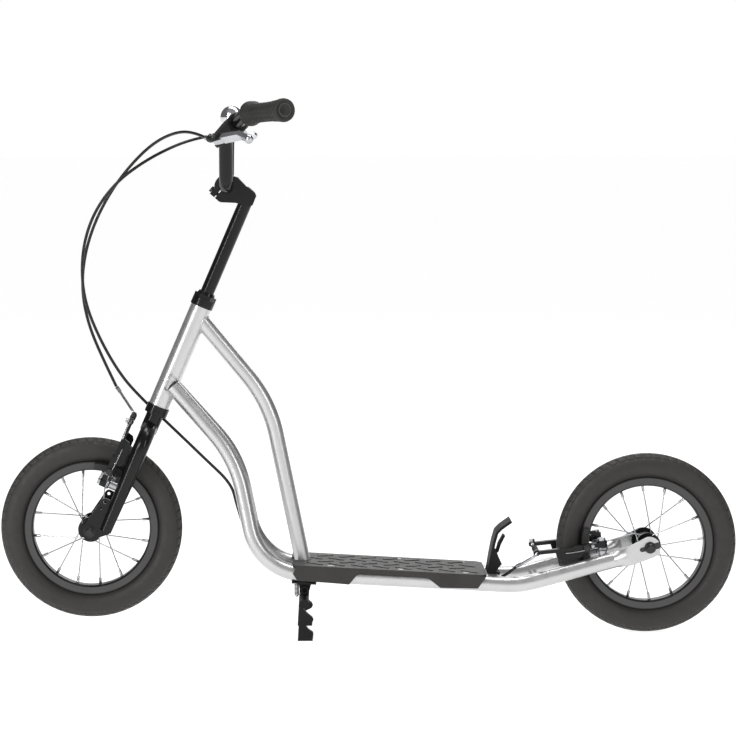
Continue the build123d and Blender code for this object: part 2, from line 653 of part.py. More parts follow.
def brake_point(brake, side, along, y, out=0.0):
    """Point on a brake: along the arm from its pivot, y sideways, and out along the pivot's post."""
    arm = AXIS if brake is FRONT_BRAKE else REAR_ARM
    return brake.origin + arm * along + SIDEWAYS * (side * y) + brake.z_dir * out


WEB_CORNERS = ((32, 2.5), (33, -12), (37, -15.5), (69, -15.5), (75, -12), (78, 0), (70, 2.5))   # along, out


def arm_web(brake, side):
    """Wide stamped side of the arm's bow, which reaches towards the fork blade or the stay."""
    corners = [brake_point(brake, side, along, BRAKE_Y + 1.5, out) for along, out in WEB_CORNERS]
    return extrude(make_face(Polyline(*corners, close=True)), 3.0, dir=SIDEWAYS * side)


def brake_arm(brake, side):
    """Arm that swings on its post: a boss, a bar bowed outward with a wide side, and an eye at the tip."""
    sign = 1 if brake.y_dir.dot(AXIS if brake is FRONT_BRAKE else REAR_ARM) > 0 else -1
    hip = (side * BRAKE_Y, 0)
    bow = (side * (BRAKE_Y + 3.5), sign * 44)
    tip = (side * ARM_TIP_Y, sign * ARM_LENGTH)
    bar = link(brake, hip, bow, 8.0, 6.5, 1.8 * ARM_THICK) + link(brake, bow, tip, 6.5, 5.0, ARM_THICK)
    boss = rod(
        brake_point(brake, side, 0, BRAKE_Y, -8), brake_point(brake, side, 0, BRAKE_Y, 8), 8.5
    )
    bore = rod(
        brake_point(brake, side, 0, BRAKE_Y, -9), brake_point(brake, side, 0, BRAKE_Y, 9), POST_R + FIT
    )
    eye = rod(
        brake_point(brake, side, ARM_LENGTH - 1, ARM_TIP_Y - 4.5),
        brake_point(brake, side, ARM_LENGTH - 1, ARM_TIP_Y + 4.5), 5.0,
    )
    eye_bore = rod(
        brake_point(brake, side, ARM_LENGTH - 1, 20), brake_point(brake, side, ARM_LENGTH - 1, 80), NOODLE_R + SEAT
    )
    along, centre = shoe_place(brake)
    stud_hole = rod(
        brake_point(brake, side, along, 30), brake_point(brake, side, along, 60), 3.0 + SEAT
    )
    return fused([bar, arm_web(brake, side), boss, eye]) - bore - eye_bore - stud_hole


def shoe_place(brake):
    """How far along the arm the brake shoe sits, and the wheel's centre."""
    centre = FRONT_AXLE if brake is FRONT_BRAKE else REAR_AXLE
    arm = AXIS if brake is FRONT_BRAKE else REAR_ARM
    from_wheel = brake.origin - centre
    flat = from_wheel.dot(arm)
    along = -flat + sqrt(flat * flat - from_wheel.length ** 2 + SHOE_IN ** 2)
    return along, centre


def brake_shoe(brake, side):
    """Curved pad beside the rim, with the stud, washers and nut that hold it to its arm."""
    along, centre = shoe_place(brake)
    inner = FRONT_SHOE_Y if brake is FRONT_BRAKE else REAR_SHOE_Y
    outward = brake_point(brake, 1, along, 0) - centre
    middle = degrees(atan2(outward.Z, outward.X))
    plane = Plane(origin=centre + SIDEWAYS * (side * inner), x_dir=(1, 0, 0), z_dir=(0, -1, 0))
    span = 30.0
    ring = Circle(SHOE_IN + 4.6) - Circle(SHOE_IN - 4.6)
    wedge = make_face(
        Polyline(
            (0, 0),
            (150 * cos(radians(middle - span / 2)), 150 * sin(radians(middle - span / 2))),
            (150 * cos(radians(middle + span / 2)), 150 * sin(radians(middle + span / 2))),
            close=True,
        )
    )
    pad = extrude(plane * (ring & wedge), -SHOE_THICK * side)
    back = inner + SHOE_THICK
    bow_y = BRAKE_Y + 3.5 * along / 44
    arm_in = brake_arm_side(brake, along) - 1
    stud = rod(brake_point(brake, side, along, back), brake_point(brake, side, along, bow_y + 15), 3.0)
    inside = rod(
        brake_point(brake, side, along, back + 3), brake_point(brake, side, along, arm_in), 7.0, 3.0 + SEAT
    )
    nut = hexagon(
        brake_point(brake, side, along, bow_y + 8), brake_point(brake, side, along, bow_y + 13), 10
    ) - rod(brake_point(brake, side, along, back), brake_point(brake, side, along, bow_y + 20), 3.0 + SEAT)
    return Compound([pad, stud, inside, nut])


def brake_arm_side(brake, along):
    """Sideways distance of the arm's inner face where the shoe's stud goes through."""
    return BRAKE_Y + 3.5 * along / 44 - 7.8


def brake_posts(brake):
    """Two posts welded to the fork or the stays, each with the bolt that keeps its arm on."""
    group = []
    for side in SIDES:
        base = rod(brake_point(brake, side, 0, BRAKE_Y, -26), brake_point(brake, side, 0, BRAKE_Y, -8.4), 7.0)
        post = rod(brake_point(brake, side, 0, BRAKE_Y, -8.4), brake_point(brake, side, 0, BRAKE_Y, 8.4), POST_R)
        head = rod(brake_point(brake, side, 0, BRAKE_Y, 8.4), brake_point(brake, side, 0, BRAKE_Y, 12.4), 6.5)
        if brake is FRONT_BRAKE:
            solid = cone(
                steer(BLADE_END_S, 0, side * BLADE_Y), steer(BLADE_CONE_S, 0, side * BLADE_Y), BLADE_END_R, TUBE_R
            )
        else:
            solid = rod(on_side(stay_point(300), side), on_side(stay_point(STAY_END_X), side), TUBE_R)
        group.append(fused([base - solid, post, head]))
    return Compound(group)


def noodle(brake, side, start):
    """Bent metal pipe that turns the cable across to the other arm."""
    tip = brake_point(brake, side, ARM_LENGTH - 1, ARM_TIP_Y - 9)
    corner = brake_point(brake, side, ARM_LENGTH - 1, ARM_TIP_Y + 22)
    start = Vector(*start)
    start = start + (corner - start).normalized() * 2.0
    pipe = tube([start, corner, tip], [8.5], NOODLE_R)
    ferrule = rod(start, start + (corner - start).normalized() * 9, 3.4)
    return pipe + ferrule


def boot(brake, side):
    """Rubber bellows over the bare wire between the two arms, drawn as an open sleeve."""
    inner = brake_point(brake, side, ARM_LENGTH - 1, -3)
    outer = brake_point(brake, side, ARM_LENGTH - 1, ARM_TIP_Y - 9.2)
    return rod(inner, outer, 5.0, 3.4)


# ---------------------------------------------------------------- stem, bar and grips
CLAMP_S = 284.0
CLAMP_U = 38.4
CLAMP_R = 19.5
CLAMP_HALF = 18.5
QUILL_FOOT_S = 36.0
BAR_CENTRE = steer(CLAMP_S, CLAMP_U)
BAR_CORNER = Vector(BAR_CENTRE.X, 40.0, BAR_CENTRE.Z)
BAR_SHOULDER = Vector(-269.0, 66.0, 777.0)
BAR_ELBOW = Vector(-238.0, 152.0, 812.3)
BAR_END = Vector(-176.4, 266.0, 822.8)
CORNER_BEND_R = 28.0
SHOULDER_BEND_R = 40.0
ELBOW_BEND_R = 40.0
GRIP_START = 14.0                # along the hand section, from its elbow
GRIP_LENGTH = 117.0


def handlebar():
    """One bent tube: centre, two risers, two sloping shoulders and two swept hand sections."""
    half = [BAR_CORNER, BAR_SHOULDER, BAR_ELBOW, BAR_END]
    left = [on_side(p, LEFT) for p in reversed(half)]
    points = left + half
    radii = [ELBOW_BEND_R, SHOULDER_BEND_R, CORNER_BEND_R]
    return tube(points, radii + radii[::-1], BAR_R, BAR_R - 2.0)


STEM_SIDE = [                    # (u, s) corners of the forged head, seen from the side
    (-12.4, 273), (-12.0, 289), (-8, 293), (4, 297), (9, 297.2), (27, 305), (36, 304), (46, 298), (47, 268),
    (41, 257), (37, 257), (16, 265), (12.6, 266), (8, 266.5), (-8, 269),
]
EAR_AT = (266.5, 47.0)           # (s, u) of the clamp's split
EAR_TILT = 18.0                  # of the clamp bolt, up from the forward direction


def stem():
    """Quill stem: a tube down the steerer and a short forged head that ends in the bar clamp."""
    plane = Plane(origin=HEAD, x_dir=FORWARD, z_dir=FORWARD.cross(AXIS))
    reach = extrude(plane * make_face(Polyline(*STEM_SIDE, close=True)), 14, both=True)
    clamp = cross_rod(BAR_CENTRE, 2 * CLAMP_HALF, CLAMP_R)
    quill = rod(steer(QUILL_FOOT_S), steer(284), BAR_R)
    split_at = Plane(origin=steer(*EAR_AT), x_dir=SIDEWAYS, z_dir=ear_direction())
    ears = split_at * Box(22, 14, 20)
    body = fused([reach, clamp, quill, ears])
    body = body - cross_rod(BAR_CENTRE, 100, BAR_R + SEAT)
    body = body - rod(steer(QUILL_FOOT_S - 1), steer(262), 8.4) - rod(steer(255), steer(310), 4.0 + SEAT)
    body = body - rod(steer(286), steer(310), 7.6)
    slit = split_at * Box(60, 24, 1.6)
    bolt_hole = rod(steer(*EAR_AT) - ear_direction() * 20, steer(*EAR_AT) + ear_direction() * 20, 3.0 + SEAT)
    return body - slit - bolt_hole


def ear_direction():
    """Direction of the clamp bolt through the two ears."""
    return (FORWARD * cos(radians(EAR_TILT)) + AXIS * sin(radians(EAR_TILT))).normalized()


def stem_bolts():
    """Expander bolt down the quill with its wedge nut, and the clamp bolt."""
    long_bolt = rod(steer(22), steer(286.2), 4.0)
    head = rod(steer(286.2), steer(292), 6.8)
    wedge = rod(steer(14), steer(QUILL_FOOT_S - GAP), 10.4, 4.0 + SEAT)
    middle = steer(*EAR_AT)
    clamp_bolt = rod(middle - ear_direction() * 10, middle + ear_direction() * 10.2, 3.0)
    cap = rod(middle + ear_direction() * 10.2, middle + ear_direction() * 14.5, 5.0)
    return Compound([fused([long_bolt, head]), wedge, fused([clamp_bolt, cap])])


def hand_section(side):
    """Start and direction of one hand section of the bar."""
    elbow, end = on_side(BAR_ELBOW, side), on_side(BAR_END, side)
    return elbow, (end - elbow).normalized()


def grip(side):
    """Rubber grip with a flange at each end and a closed cap with a dimple."""
    elbow, along = hand_section(side)
    start = elbow + along * GRIP_START
    plane = Plane(origin=start, z_dir=along)
    profile = Polyline(
        (0, 0), (18.4, 0), (19.6, 2.4), (19.6, 6), (18.0, 10.5), (16.1, 16), (15.4, 26), (15.2, 52), (15.5, 72),
        (16.5, 90), (17.4, 102), (18.2, 108), (18.4, 112), (17.7, GRIP_LENGTH - 1.6), (16.0, GRIP_LENGTH),
        (4, GRIP_LENGTH), (0, GRIP_LENGTH - 2), close=True,
    )
    body = revolve(Plane(origin=start, x_dir=plane.x_dir, z_dir=plane.y_dir * -1) * make_face(profile),
                   Axis(start, along))
    bar_end = on_side(BAR_END, side)
    return body - rod(start - along * 5, bar_end + along * 0.3, BAR_R + SEAT)


# ---------------------------------------------------------------- brake levers and bell
LEVER_CLAMP_SHARE = 0.52         # where the bracket sits between shoulder and elbow
LEVER_PIVOT = Vector(-281.5, 121.0, 768.5)
LEVER_TIP = Vector(-229.0, 250.0, 775.0)
CABLE_EXIT = Vector(-299.5, 98.0, 771.5)


def lever_frame(side):
    """Pivot, blade direction, pull direction and pivot axis of one brake lever."""
    pivot, tip = on_side(LEVER_PIVOT, side), on_side(LEVER_TIP, side)
    along = (tip - pivot).normalized()
    elbow, hand = hand_section(side)
    to_grip = elbow + hand * 70 - pivot
    pull = (to_grip - along * to_grip.dot(along)).normalized()
    return pivot, along, pull, along.cross(pull)


def lever_bracket(side):
    """Clamp on the bar's shoulder with a fork-shaped arm for the lever and a boss for the cable."""
    shoulder, elbow = on_side(BAR_SHOULDER, side), on_side(BAR_ELBOW, side)
    bar_dir = (elbow - shoulder).normalized()
    seat = shoulder + (elbow - shoulder) * LEVER_CLAMP_SHARE
    pivot, along, pull, axis = lever_frame(side)
    ring = rod(seat - bar_dir * 8, seat + bar_dir * 8, 16.0)
    plane = Plane(origin=pivot, x_dir=along, z_dir=axis)
    reach = seat - pivot
    inward = (reach.dot(plane.x_dir), reach.dot(plane.y_dir))
    middle = (inward[0] * 0.72, inward[1] * 0.72)
    arm = link(plane, (0, 0), middle, 8.5, 9.5, 17.0)
    cable_dir = (on_side(CABLE_EXIT, side) - pivot).normalized()
    boss = rod(pivot, on_side(CABLE_EXIT, side) - cable_dir * 9, 6.0)
    body = fused([ring, arm, boss])
    slot = link(plane, (34, 5), (-4, 0), 16.0, 12.5, 8.6)
    body = body - rod(seat - bar_dir * 20, seat + bar_dir * 20, BAR_R + SEAT) - slot
    return body - rod(pivot - axis * 20, pivot + axis * 20, 3.0 + SEAT)


def lever_hardware():
    """Pivot pins of both levers and the barrel adjusters that the housings end in."""
    group = []
    for side in SIDES:
        pivot, along, pull, axis = lever_frame(side)
        pin = rod(pivot - axis * 9.5, pivot + axis * 9.5, 3.0)
        exit_at = on_side(CABLE_EXIT, side)
        cable_dir = (exit_at - pivot).normalized()
        barrel = rod(exit_at - cable_dir * 9, exit_at - cable_dir * 1.2, 4.6)
        group += [pin, barrel]
    return Compound(group)


def lever_blade(side):
    """Lever blade with a slim finger section and a ball end."""
    pivot, along, pull, axis = lever_frame(side)
    plane = Plane(origin=pivot, x_dir=along, z_dir=axis)
    length = (LEVER_TIP - LEVER_PIVOT).length
    root = link(plane, (0, 0), (26, 3), 7.0, 6.0, 8.0)
    blade = bent_bar(plane, [(28, 4, 5.4), (length - 50, 9, 4.2), (length - 4, 1, 3.8)], 13.0)
    ball = Solid.make_sphere(7.0, Plane(origin=pivot + along * length))
    body = fused([root, blade, ball])
    return body - rod(pivot - axis * 20, pivot + axis * 20, 3.0 + FIT)


BELL_SEAT = 26.0                 # along the bar's shoulder, from its corner
BELL_R = 19.5
BELL_RISE = 20.0                 # of the dome's centre, from the bar's centre line
BELL_SKIRT = 3.8
BELL_WALL = 1.4


def bell_places():
    """Middle of the bell's clamp on the bar, the bar's direction there, the dome's centre and its axis."""
    bar_dir = (BAR_ELBOW - BAR_SHOULDER).normalized()
    seat = BAR_SHOULDER + bar_dir * BELL_SEAT
    up = (Vector(0, 0, 1) - bar_dir * bar_dir.Z).normalized()
    return seat, bar_dir, seat + up * BELL_RISE, up


def bell():
    """Bell on the right shoulder of the bar: a clamp with a post and a plate, and a thin dome."""
    seat, bar_dir, dome_at, up = bell_places()
    ring = rod(seat - bar_dir * 4, seat + bar_dir * 4, 12.9)
    post = rod(seat, dome_at + up * (BELL_R - 3), 3.0)
    plate = rod(dome_at - up * BELL_SKIRT, dome_at - up * (BELL_SKIRT - 1.6), 12.0)
    base = fused([ring, post, plate]) - rod(seat - bar_dir * 30, seat + bar_dir * 30, BAR_R + SEAT)
    plane = Plane(origin=dome_at, z_dir=up)
    shell = Solid.make_sphere(BELL_R, plane) - Solid.make_sphere(BELL_R - BELL_WALL, plane)
    upper_half = plane * Pos(0, 0, 25) * Box(60, 60, 50)
    skirt = rod(dome_at - up * BELL_SKIRT, dome_at, BELL_R, BELL_R - BELL_WALL)
    dome = fused([shell & upper_half, skirt]) - rod(dome_at, dome_at + up * 30, 3.0 + SEAT)
    return Compound([base, dome])


def bell_striker():
    """Thumb lever that turns under the dome on the bell's post."""
    seat, bar_dir, dome_at, up = bell_places()
    low = seat + up * 13.2
    high = seat + up * 15.2
    back = bar_dir.cross(up).normalized()
    if back.X < 0:
        back = back * -1
    plane = Plane(origin=(low + high) * 0.5, x_dir=back, z_dir=up)
    arm = link(plane, (0, 0), (27, 0), 5.5, 4.5, 2.0)
    return arm - rod(low - up, high + up, 3.0 + FIT)


# ---------------------------------------------------------------- cables
# Routes run from lever to brake, in the riding frame.
FRONT_ROUTE = [
    (-299.5, -98, 771.5), (-320, -71, 779), (-350, -32, 777), (-387, 10, 757), (-424, 35, 718), (-456, 43, 670),
    (-480, 45, 616), (-493, 46, 560), (-493.5, 47, 506), (-481, 47.5, 455), (-458, 47.2, 405), (-429.3, 47, 352.8),
]
REAR_FRONT_ROUTE = [
    (-299.5, 98, 771.5), (-324, 71, 766), (-361, 45, 750), (-405, 28, 723), (-446, 21, 688), (-477, 18, 641),
    (-492.5, 17, 588), (-493.5, 18, 534), (-484, 20, 486), (-461, 22, 436), (-431, 24, 387), (-400, 25, 350),
]
REAR_ROUTE = [
    (-320, 25.3, 281.5), (-277, 31, 243), (-231.5, 39, 203), (-220.5, 33, 168),
    (-204, 26, 126), (-168, 27, 87), (-126, 31, 71), (-75, 32, 70), (-15, 33, 70.6), (45, 31.5, 70),
    (105, 28, 70.8), (155, 12, 71.5), (190, -8, 72.5), (217, -28, 77), (240.4, -39, 101.8),
]
CLIP_RUNS = ((-126, 31, 71, -75, 32, 70), (-15, 33, 70.6, 45, 31.5, 70))


def rear_cable_front():
    """Housing from the right lever to the guide on the fork crown."""
    return housing(REAR_FRONT_ROUTE + [GUIDE_AT - GUIDE_DIR * 0.2], CABLE_R)


def rear_cable_rear():
    """Housing from the fork crown down to the right rail, under the footboard and up to the rear brake."""
    return housing([GUIDE_AT + GUIDE_DIR * 0.2] + REAR_ROUTE, CABLE_R)


def rear_cable_clips():
    """Saddles that hold the housing on the front and middle cross plates."""
    group = []
    plate_top = PLATE_Z + PLATE_THICK / 2
    for x0, y0, z0, x1, y1, z1 in CLIP_RUNS:
        start, end = Vector(x0, y0, z0), Vector(x1, y1, z1)
        middle = (start + end) * 0.5
        along = (end - start).normalized()
        ring = rod(middle - along * 3, middle + along * 3, 4.2)
        foot = Pos(middle.X, middle.Y - 5, plate_top + 1) * Box(6, 14, 2)
        below = Pos(middle.X, middle.Y, plate_top - 10) * Box(40, 40, 20)
        group.append(fused([ring, foot]) - below - rod(middle - along * 6, middle + along * 6, CABLE_R + 0.1))
    return Compound(group)


def node_shapes():
    """Every node of the scooter in the riding frame."""
    nodes = {
        "head_tube": head_tube(),
        "upper_tube": upper_tube(),
        "cross_plates": cross_plates(),
        "headset_cups": headset_cups(),
        "footboard": footboard(),
        "deck_screws": deck_screws(),
        "heel_guard": heel_guard(),
        "stand_bracket": stand_bracket(),
        "stand_spring": stand_spring(),
        "stand": stand(),
        "fork_steerer": fork_steerer(),
        "headset_races": headset_races(),
        "fork_cable_guide": fork_cable_guide(),
        "stem": stem(),
        "stem_bolts": stem_bolts(),
        "handlebar": handlebar(),
        "lever_hardware": lever_hardware(),
        "bell": bell(),
        "bell_striker": bell_striker(),
        "front_brake_posts": brake_posts(FRONT_BRAKE),
        "rear_brake_posts": brake_posts(REAR_BRAKE),
        "front_noodle": noodle(FRONT_BRAKE, RIGHT, FRONT_ROUTE[-1]),
        "rear_noodle": noodle(REAR_BRAKE, LEFT, REAR_ROUTE[-1]),
        "front_boot": boot(FRONT_BRAKE, RIGHT),
        "rear_boot": boot(REAR_BRAKE, LEFT),
        "front_cable": housing(FRONT_ROUTE, CABLE_R),
        "rear_cable_front": rear_cable_front(),
        "rear_cable_rear": rear_cable_rear(),
        "rear_cable_clips": rear_cable_clips(),
    }
    for side in SIDES:
        name = SIDE_NAME[side]
        nodes["lower_tube_" + name] = lower_tube(side)
        nodes["fork_blade_" + name] = fork_blade(side)
        nodes["grip_" + name] = grip(side)
        nodes["lever_bracket_" + name] = lever_bracket(side)
        nodes["lever_" + name] = lever_blade(side)
        for end, brake in (("front", FRONT_BRAKE), ("rear", REAR_BRAKE)):
            nodes[end + "_arm_" + name] = brake_arm(brake, side)
            nodes[end + "_shoe_" + name] = brake_shoe(brake, side)
    wheels = (
        ("front", FRONT_AXLE, 27.0, BLADE_Y, FORK_PLATE, 11.3, 64.5, None),
        ("rear", REAR_AXLE, 30.0, RAIL_Y, DROPOUT_THICK, 29.8, 173.0, STAY),
    )
    for end, centre, flange_y, plate_y, plate_thick, phase, valve_angle, tab in wheels:
        nodes[end + "_tyre"] = tyre(centre)
        nodes[end + "_inner_tube"] = inner_tube(centre, valve_angle)
        nodes[end + "_rim"] = rim(centre, valve_angle)
        nodes[end + "_spokes"] = spokes(centre, flange_y, phase)
        nodes[end + "_hub"] = hub(centre, flange_y)
        nodes[end + "_axle"] = axle_set(centre, flange_y, plate_y, plate_thick, tab)
    return nodes


if __name__ == "__main__":
    os.makedirs("parts", exist_ok=True)
    for node, shape in node_shapes().items():
        export_step(STAND_POSE * shape, "parts/" + node + ".step")
    print("nodes", len(os.listdir("parts")))
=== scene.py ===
"""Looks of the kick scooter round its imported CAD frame: treaded tyres, smooth cable housings, brake wires
and springs, weld beads, ribbed grips and procedural materials. Shapes are drawn in millimetres in the riding
frame, as in the CAD source, and STAND carries them into the row frame in metres.
"""
from math import atan2, cos, pi, radians, sin, sqrt

import bmesh
import bpy
from mathutils import Matrix, Vector


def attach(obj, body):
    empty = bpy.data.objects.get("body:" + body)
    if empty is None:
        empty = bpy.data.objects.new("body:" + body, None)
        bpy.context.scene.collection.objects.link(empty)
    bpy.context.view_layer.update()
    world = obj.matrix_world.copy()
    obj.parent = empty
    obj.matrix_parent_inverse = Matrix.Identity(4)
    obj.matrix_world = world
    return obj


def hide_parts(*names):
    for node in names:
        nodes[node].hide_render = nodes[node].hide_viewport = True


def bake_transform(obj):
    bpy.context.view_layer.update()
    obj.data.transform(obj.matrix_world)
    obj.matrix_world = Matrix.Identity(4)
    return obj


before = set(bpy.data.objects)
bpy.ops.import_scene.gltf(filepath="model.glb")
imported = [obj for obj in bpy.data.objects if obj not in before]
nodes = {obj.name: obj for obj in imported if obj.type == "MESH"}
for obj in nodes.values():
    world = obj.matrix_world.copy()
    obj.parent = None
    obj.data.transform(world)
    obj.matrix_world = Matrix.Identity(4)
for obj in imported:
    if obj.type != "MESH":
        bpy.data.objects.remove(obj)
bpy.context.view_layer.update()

# ---------------------------------------------------------------- places shared with the CAD source
STANCE = radians(3.3)
REAR_AXLE = Vector((455.3, 0, 148))
HEAD = Vector((-325.8, 0, 413.3))
HEAD_ANGLE = radians(20)
AXIS = Vector((sin(HEAD_ANGLE), 0, cos(HEAD_ANGLE)))
FORWARD = Vector((-cos(HEAD_ANGLE), 0, sin(HEAD_ANGLE)))
SIDEWAYS = Vector((0, 1, 0))
FRONT_AXLE = HEAD + AXIS * -315.5 + FORWARD * 22.9
LEAN = Matrix.Rotation(STANCE, 4, "Y")
HALF_BASE = (LEAN @ (REAR_AXLE - FRONT_AXLE)).x / 2
MM = 0.001
STAND = (
    Matrix.Scale(MM, 4)
    @ Matrix.Translation((HALF_BASE, 0, REAR_AXLE.z))
    @ LEAN
    @ Matrix.Translation(-REAR_AXLE)
)
LEFT, RIGHT = -1, 1
SIDES = (LEFT, RIGHT)
SIDE_NAME = {LEFT: "left", RIGHT: "right"}
TUBE_R = 12.7
HEAD_R = 17.0


def place(point):
    """Row-frame point, in metres, of a riding-frame point in millimetres."""
    return STAND @ Vector(point)


# ---------------------------------------------------------------- materials
def linear(*rgb):
    """Linear colour from display values of 0 to 255."""
    def one(v):
        v = v / 255
        return v / 12.92 if v <= 0.04045 else ((v + 0.055) / 1.055) ** 2.4
    return tuple(one(v) for v in rgb) + (1.0,)

def feed(tree, socket, value):
    """Link an input to another node's output, or set its value."""
    if isinstance(value, bpy.types.NodeSocket):
        tree.links.new(value, socket)
    else:
        socket.default_value = value


class Graph:
    """A material's node tree, built by short calls that return output sockets."""

    def __init__(self, name, **constants):
        self.material = bpy.data.materials.new(name)
        self.material.use_nodes = True
        self.tree = self.material.node_tree
        self.shader = self.tree.nodes["Principled BSDF"]
        for key, value in constants.items():
            self.shader.inputs[key.replace("_", " ").title().replace("Ior", "IOR")].default_value = value
        self.where = self.tree.nodes.new("ShaderNodeTexCoord").outputs["Object"]

    def node(self, kind, out, settings=None, **inputs):
        made = self.tree.nodes.new("ShaderNode" + kind)
        for key, value in (settings or {}).items():
            setattr(made, key, value)
        for key, value in inputs.items():
            socket = made.inputs[int(key[1:]) if key[1:].isdigit() else key.replace("_", " ")]
            feed(self.tree, socket, value)
        return made.outputs[out]

    def noise(self, scale, detail=3.0, rough=0.55):
        return self.node("TexNoise", "Fac", Vector=self.where, Scale=scale, Detail=detail, Roughness=rough)

    def cells(self, scale):
        return self.node("TexVoronoi", "Distance", Vector=self.where, Scale=scale)

    def axle_distance(self, centre):
        """Distance from a wheel's axle, in metres."""
        to_axle = self.node(
            "VectorMath", "Vector", {"operation": "SUBTRACT"}, _0=self.where, _1=tuple(place(centre)),
        )
        flat = self.node("VectorMath", "Vector", {"operation": "MULTIPLY"}, _0=to_axle, _1=(1.0, 0.0, 1.0))
        return self.node("VectorMath", "Value", {"operation": "LENGTH"}, _0=flat)

    def rings(self, distance, scale, detail):
        """Noise that changes only with distance, so that it draws rings."""
        one_way = {"noise_dimensions": "1D"}
        return self.node("TexNoise", "Fac", one_way, W=distance, Scale=scale, Detail=detail)

    def remap(self, value, low, high, to_low, to_high):
        return self.node(
            "MapRange", "Result", {"clamp": True}, Value=value, From_Min=low, From_Max=high,
            To_Min=to_low, To_Max=to_high,
        )

    def math(self, operation, a, b):
        return self.node("Math", "Value", {"operation": operation}, _0=a, _1=b)

    def mix(self, factor, a, b):
        made = self.tree.nodes.new("ShaderNodeMix")
        made.data_type = "RGBA"
        for index, value in ((0, factor), (6, a), (7, b)):
            feed(self.tree, made.inputs[index], value)
        return made.outputs[2]

    def bump(self, height, depth, normal=None):
        made = self.tree.nodes.new("ShaderNodeBump")
        made.inputs["Distance"].default_value = depth
        made.inputs["Strength"].default_value = 1.0
        self.tree.links.new(height, made.inputs["Height"])
        if normal:
            self.tree.links.new(normal, made.inputs["Normal"])
        return made.outputs["Normal"]

    def use(self, **links):
        for key, value in links.items():
            self.tree.links.new(value, self.shader.inputs[key.replace("_", " ").title()])
        return self.material


DRIFT_RANGE = (0.35, 0.7)        # noise values between which a finish drifts from one tone to the other
SCUFF_RANGE = (0.3, 0.75)        # the same for the finer scuffs


def finish_of(name, tone, shade, rough, metallic=0.0, coat=0.0, coat_rough=0.1, grain=900.0, grain_depth=2e-5,
              mottle=14.0, cell=0.0, cell_depth=0.0, spread=0.08, specular=0.5):
    """Painted, moulded or metal surface: drifting colour, uneven gloss, fine grain and optional cells."""
    g = Graph(
        name, metallic=metallic, coat_weight=coat, coat_roughness=coat_rough, specular_ior_level=specular,
    )
    drift = g.noise(mottle, 4.0)
    scuff = g.noise(mottle * 6, 6.0, 0.7)
    fine = g.noise(grain, 2.0)
    blend = g.math("MULTIPLY", g.remap(drift, *DRIFT_RANGE, 0.0, 1.0), g.remap(scuff, *SCUFF_RANGE, 0.4, 1.0))
    colour = g.mix(blend, tone, shade)
    normal = g.bump(fine, grain_depth)
    if cell:
        normal = g.bump(g.cells(cell), cell_depth, normal)
    gloss = g.remap(scuff, *SCUFF_RANGE, rough - spread, rough + spread)
    return g.use(base_color=colour, roughness=gloss, normal=normal)


TRACK_FROM, TRACK_TO = 0.0975, 0.108     # brake track's radii, in metres
TRACK_EDGE = 0.0006
WORN = 0.8                               # tone of the darker lathe lines against the track's
RIM_ROUGH = 0.36


def rim_finish(name, centre):
    """Black rim with lathe lines round the axle and a paler, drier brake track between two radii."""
    g = Graph(name, metallic=0.6, coat_weight=0.15, coat_roughness=0.25)
    radius = g.axle_distance(centre)
    lines = g.rings(radius, 5200.0, 2.0)
    band = g.math(
        "MULTIPLY", g.remap(radius, TRACK_FROM, TRACK_FROM + TRACK_EDGE, 0.0, 1.0),
        g.remap(radius, TRACK_TO - TRACK_EDGE, TRACK_TO, 1.0, 0.0),
    )
    drift = g.remap(g.noise(30.0, 5.0, 0.7), *DRIFT_RANGE, 0.0, 1.0)
    paint = g.mix(drift, linear(34, 33, 34), linear(46, 45, 45))
    track = linear(76, 75, 76)
    rubbed = g.mix(g.remap(lines, 0.35, 0.65, 0.0, 1.0), track, tuple(WORN * v for v in track[:3]) + (1.0,))
    colour = g.mix(band, paint, rubbed)
    gloss = g.remap(g.math("ADD", lines, drift), 0.4, 1.5, RIM_ROUGH - 0.08, RIM_ROUGH + 0.14)
    return g.use(base_color=colour, roughness=gloss, normal=g.bump(lines, 3e-5))


DUST_FROM, DUST_TO = 0.136, 0.1475       # radii between which the tyre gets dustier, in metres


def tyre_finish(name, centre):
    """Rubber that is dustier on the tread and shows fine rings on the sidewall."""
    g = Graph(name, specular_ior_level=0.4)
    radius = g.axle_distance(centre)
    dust = g.math(
        "MULTIPLY", g.remap(radius, DUST_FROM, DUST_TO, 0.1, 1.0),
        g.remap(g.noise(60.0, 6.0, 0.75), *DRIFT_RANGE, 0.2, 1.0),
    )
    colour = g.mix(dust, linear(44, 42, 41), linear(62, 60, 57))
    grain = g.noise(2600.0, 3.0, 0.7)
    normal = g.bump(g.rings(radius, 1400.0, 1.0), 4e-5, g.bump(grain, 3e-5))
    gloss = g.remap(g.noise(90.0, 5.0), 0.3, 0.7, 0.48, 0.66)
    return g.use(base_color=colour, roughness=gloss, normal=normal)


SILVER = finish_of("silver_paint", linear(200, 200, 200), linear(190, 190, 191), 0.32, metallic=0.85,
                   coat=0.3, coat_rough=0.12, grain=5200.0, grain_depth=6e-6)
BLACK = finish_of("black_paint", linear(12, 12, 12), linear(20, 19, 19), 0.28, coat=0.3, coat_rough=0.08,
                  grain=2400.0, grain_depth=8e-6, specular=0.14)
SATIN_BLACK = finish_of("satin_black", linear(20, 19, 20), linear(30, 29, 29), 0.55, grain=2600.0,
                        grain_depth=1.5e-5, specular=0.2)
ARM_BLACK = finish_of("arm_black", linear(14, 14, 14), linear(24, 23, 23), 0.34, coat=0.25,
                      grain=2600.0, grain_depth=1.2e-5, specular=0.16)
BOARD = finish_of("board_plastic", linear(50, 48, 47), linear(40, 39, 38), 0.52, grain=3200.0,
                  grain_depth=2.5e-5, cell=1500.0, cell_depth=6e-5, specular=0.35)
